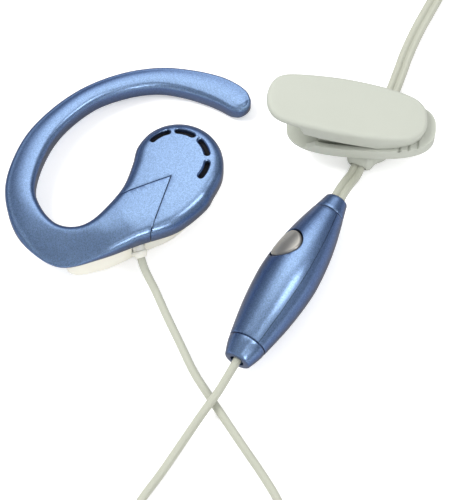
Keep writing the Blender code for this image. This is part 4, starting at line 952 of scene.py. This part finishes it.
# %% Ties
def tie(name, middle, radius, wide, high, angle, stands_for):
    half = wide / 2 + 0.3
    low, top = 0.25, 0.95 + high
    corner = 0.7
    loop = []
    for x_sign, z_at, first in ((1, top - corner, 0), (-1, top - corner, 90), (-1, low + corner, 180),
                                (1, low + corner, 270)):
        for a in np.radians(np.linspace(first, first + 90, 6)):
            loop.append((x_sign * (half - corner), z_at, math.cos(a), math.sin(a)))
    rings = []
    for x, z, c, s in loop:
        inside, outside = corner, corner + 0.35
        rings.append([Vector((radius + x + c * r, y, max(z + s * r, 0.0))) * MM
                      for r, y in ((inside, -1.4), (outside, -1.25), (outside, 1.25), (inside, 1.4))])
    bm = sweep(rings, closed=True)
    out = radius + half + 0.3
    head = box((out - 0.1, -2.2, low + 0.3), (out + 1.9, 2.2, low + 3.1))
    bmesh.ops.bevel(head, geom=head.edges, offset=0.3 * MM, segments=3, profile=0.5, affect="EDGES",
                    material=-1)
    tail = box((out + 0.5, -1.25, low + 2.9), (out + 0.85, 1.25, low + 5.2))
    bmesh.ops.bevel(tail, geom=tail.edges, offset=0.08 * MM, segments=2, profile=0.5, affect="EDGES",
                    material=-1)
    for extra in (head, tail):
        mesh = bpy.data.meshes.new("extra")
        extra.to_mesh(mesh)
        extra.free()
        bm.from_mesh(mesh)
        bpy.data.meshes.remove(mesh)
    matrix = (Matrix.Translation((middle.x * MM, middle.y * MM, 0))
              @ Matrix.Rotation(math.radians(angle), 4, "Z"))
    return dress(piece(name, place(bm, matrix), 35), "headset", "black_plastic", black_plastic, stands_for)


ear_tie = tie("ear cord tie", EAR_COIL, 11.0, 4.1, 4.0, -90, "ear_cord_tie")
twin_tie = tie("twin cord tie", TWIN_COIL, 20.0, 7.2, 5.5, 0, "twin_cord_tie")

# %% [markdown]
# ## Pieces inside
#
# The speaker, the switch and the circuit board are simple solids that no view shows, so they keep their
# CAD shape and only take a finish.

# %% Finishes for the pieces inside
for material, names in (
    (black_plastic, ("speaker_frame", "switch_housing", "microphone_boot")),
    (foam, ("vent_felt",)),
    (steel, ("speaker_grille", "speaker_magnet", "magnet_yoke", "switch_stem", "microphone")),
    (brass, ("upper_cord_ferrule", "lower_cord_ferrule")),
    (copper, ("voice_coil",)),
    (board_green, ("circuit_board", "terminal_board")),
    (film, ("speaker_diaphragm",)),
):
    for name in names:
        nodes[name].data.materials.clear()
        nodes[name].data.materials.append(material)

# %% [markdown]
# ## Table and light
#
# A small metallic object shows its surroundings more than its own colour, so it is photographed in a
# tent: a bright cloth hangs beyond it, and the rest of the room is dim. Faces turned up mirror the cloth
# to the camera and faces turned aside mirror the dark, and that draws the roundings. The plastics and the
# table take the even light of the tent's walls. The world is therefore two lights in one: a gradient for
# mirrored rays, even walls for all the others. The table is white paper. It has a painted glow: it gives
# off a little light to the camera only, which lifts it and washes out its shadows. In reflections its
# colour is painted darker, a painted shade for the shade the object casts on it.

# %% Table
bm = bmesh.new()
bmesh.ops.create_grid(bm, x_segments=1, y_segments=1, size=1.5)
floor = piece("table", bm)
floor.location.z = -0.0001
table_paint = bpy.data.materials.new("white table")
table_paint.use_nodes = True
tree = table_paint.node_tree
shader = tree.nodes["Principled BSDF"]
ray = node(tree, "ShaderNodeLightPath")
mottled = node(tree, "ShaderNodeTexNoise", {"Scale": 3.0, "Detail": 2.0})
seen = node(tree, "ShaderNodeMapRange", {"Value": mottled.outputs[0], "To Min": 0.93, "To Max": 0.96})
# Painted shade: the table's colour is made darker in glossy rays only.
mirrored = node(tree, "ShaderNodeMath", {0: ray.outputs["Is Glossy Ray"], 1: -0.42, 2: seen.outputs[0]},
                operation="MULTIPLY_ADD")
# Painted glow: the table gives off light to the camera only, which washes out its shadows.
painted_glow = node(tree, "ShaderNodeMath", {0: ray.outputs["Is Camera Ray"], 1: 0.3}, operation="MULTIPLY")
tree.links.new(mirrored.outputs[0], shader.inputs["Base Color"])
tree.links.new(painted_glow.outputs[0], shader.inputs["Emission Strength"])
shader.inputs["Emission Color"].default_value = (1, 1, 1, 1)
shader.inputs["Roughness"].default_value = 0.85
shader.inputs["Specular IOR Level"].default_value = 0.1
floor.data.materials.append(table_paint)


# %% [markdown]
# Four softboxes add to the tent. The left one is not mirrored. It lights the plastics and gives the table
# its soft shadows. The right one draws the long streak on the pod, the front right one the streak round
# the head's lower edge, and the one over the camera the faint line on the inner edge of the hook.

# %% Lights
def softbox(name, direction, distance, size, power, mirrored=True):
    light = bpy.data.lights.new(name, "AREA")
    light.shape = "RECTANGLE"
    light.size, light.size_y = size
    light.energy = power
    obj = bpy.data.objects.new(name, light)
    bpy.context.scene.collection.objects.link(obj)
    obj.location = Vector(direction).normalized() * distance
    obj.rotation_euler = (-obj.location).to_track_quat("-Z", "Y").to_euler()
    obj.visible_glossy = mirrored


softbox("left", (-0.55, 0.15, 0.85), 0.9, (0.35, 0.35), 5.0, mirrored=False)
softbox("right", (0.6, -0.08, 0.79), 0.8, (0.24, 0.3), 0.8)
softbox("front right", (0.35, -0.8, 0.5), 0.8, (0.12, 0.25), 0.7)
softbox("over the camera", (0.12, -0.5, 0.86), 0.6, (0.2, 0.2), 0.12)

# %% The tent
world = bpy.data.worlds.new("tent")
bpy.context.scene.world = world
world.use_nodes = True
tree = world.node_tree
looking = node(tree, "ShaderNodeTexCoord").outputs["Generated"]
towards = node(tree, "ShaderNodeVectorMath", {0: looking, 1: (0.1, 0.6, 0.79)}, operation="DOT_PRODUCT")
tent = node(tree, "ShaderNodeValToRGB", {"Fac": towards.outputs["Value"]})
tent.color_ramp.elements[0].position = 0.79
tent.color_ramp.elements[0].color = (0.05, 0.06, 0.085, 1)
tent.color_ramp.elements[1].position = 0.97
tent.color_ramp.elements[1].color = (1, 1, 1, 1)
tent.color_ramp.elements.new(0.89).color = (0.42, 0.44, 0.48, 1)
glossy = node(tree, "ShaderNodeLightPath").outputs["Is Glossy Ray"]
walls = node(tree, "ShaderNodeMix", data_type="RGBA")
walls.inputs[6].default_value = (0.58, 0.58, 0.59, 1)
tree.links.new(glossy, walls.inputs[0])
tree.links.new(tent.outputs[0], walls.inputs[7])
tree.links.new(walls.outputs[2], tree.nodes["Background"].inputs["Color"])
tree.nodes["Background"].inputs["Strength"].default_value = 1.5
bpy.context.scene.view_settings.view_transform = "Standard"
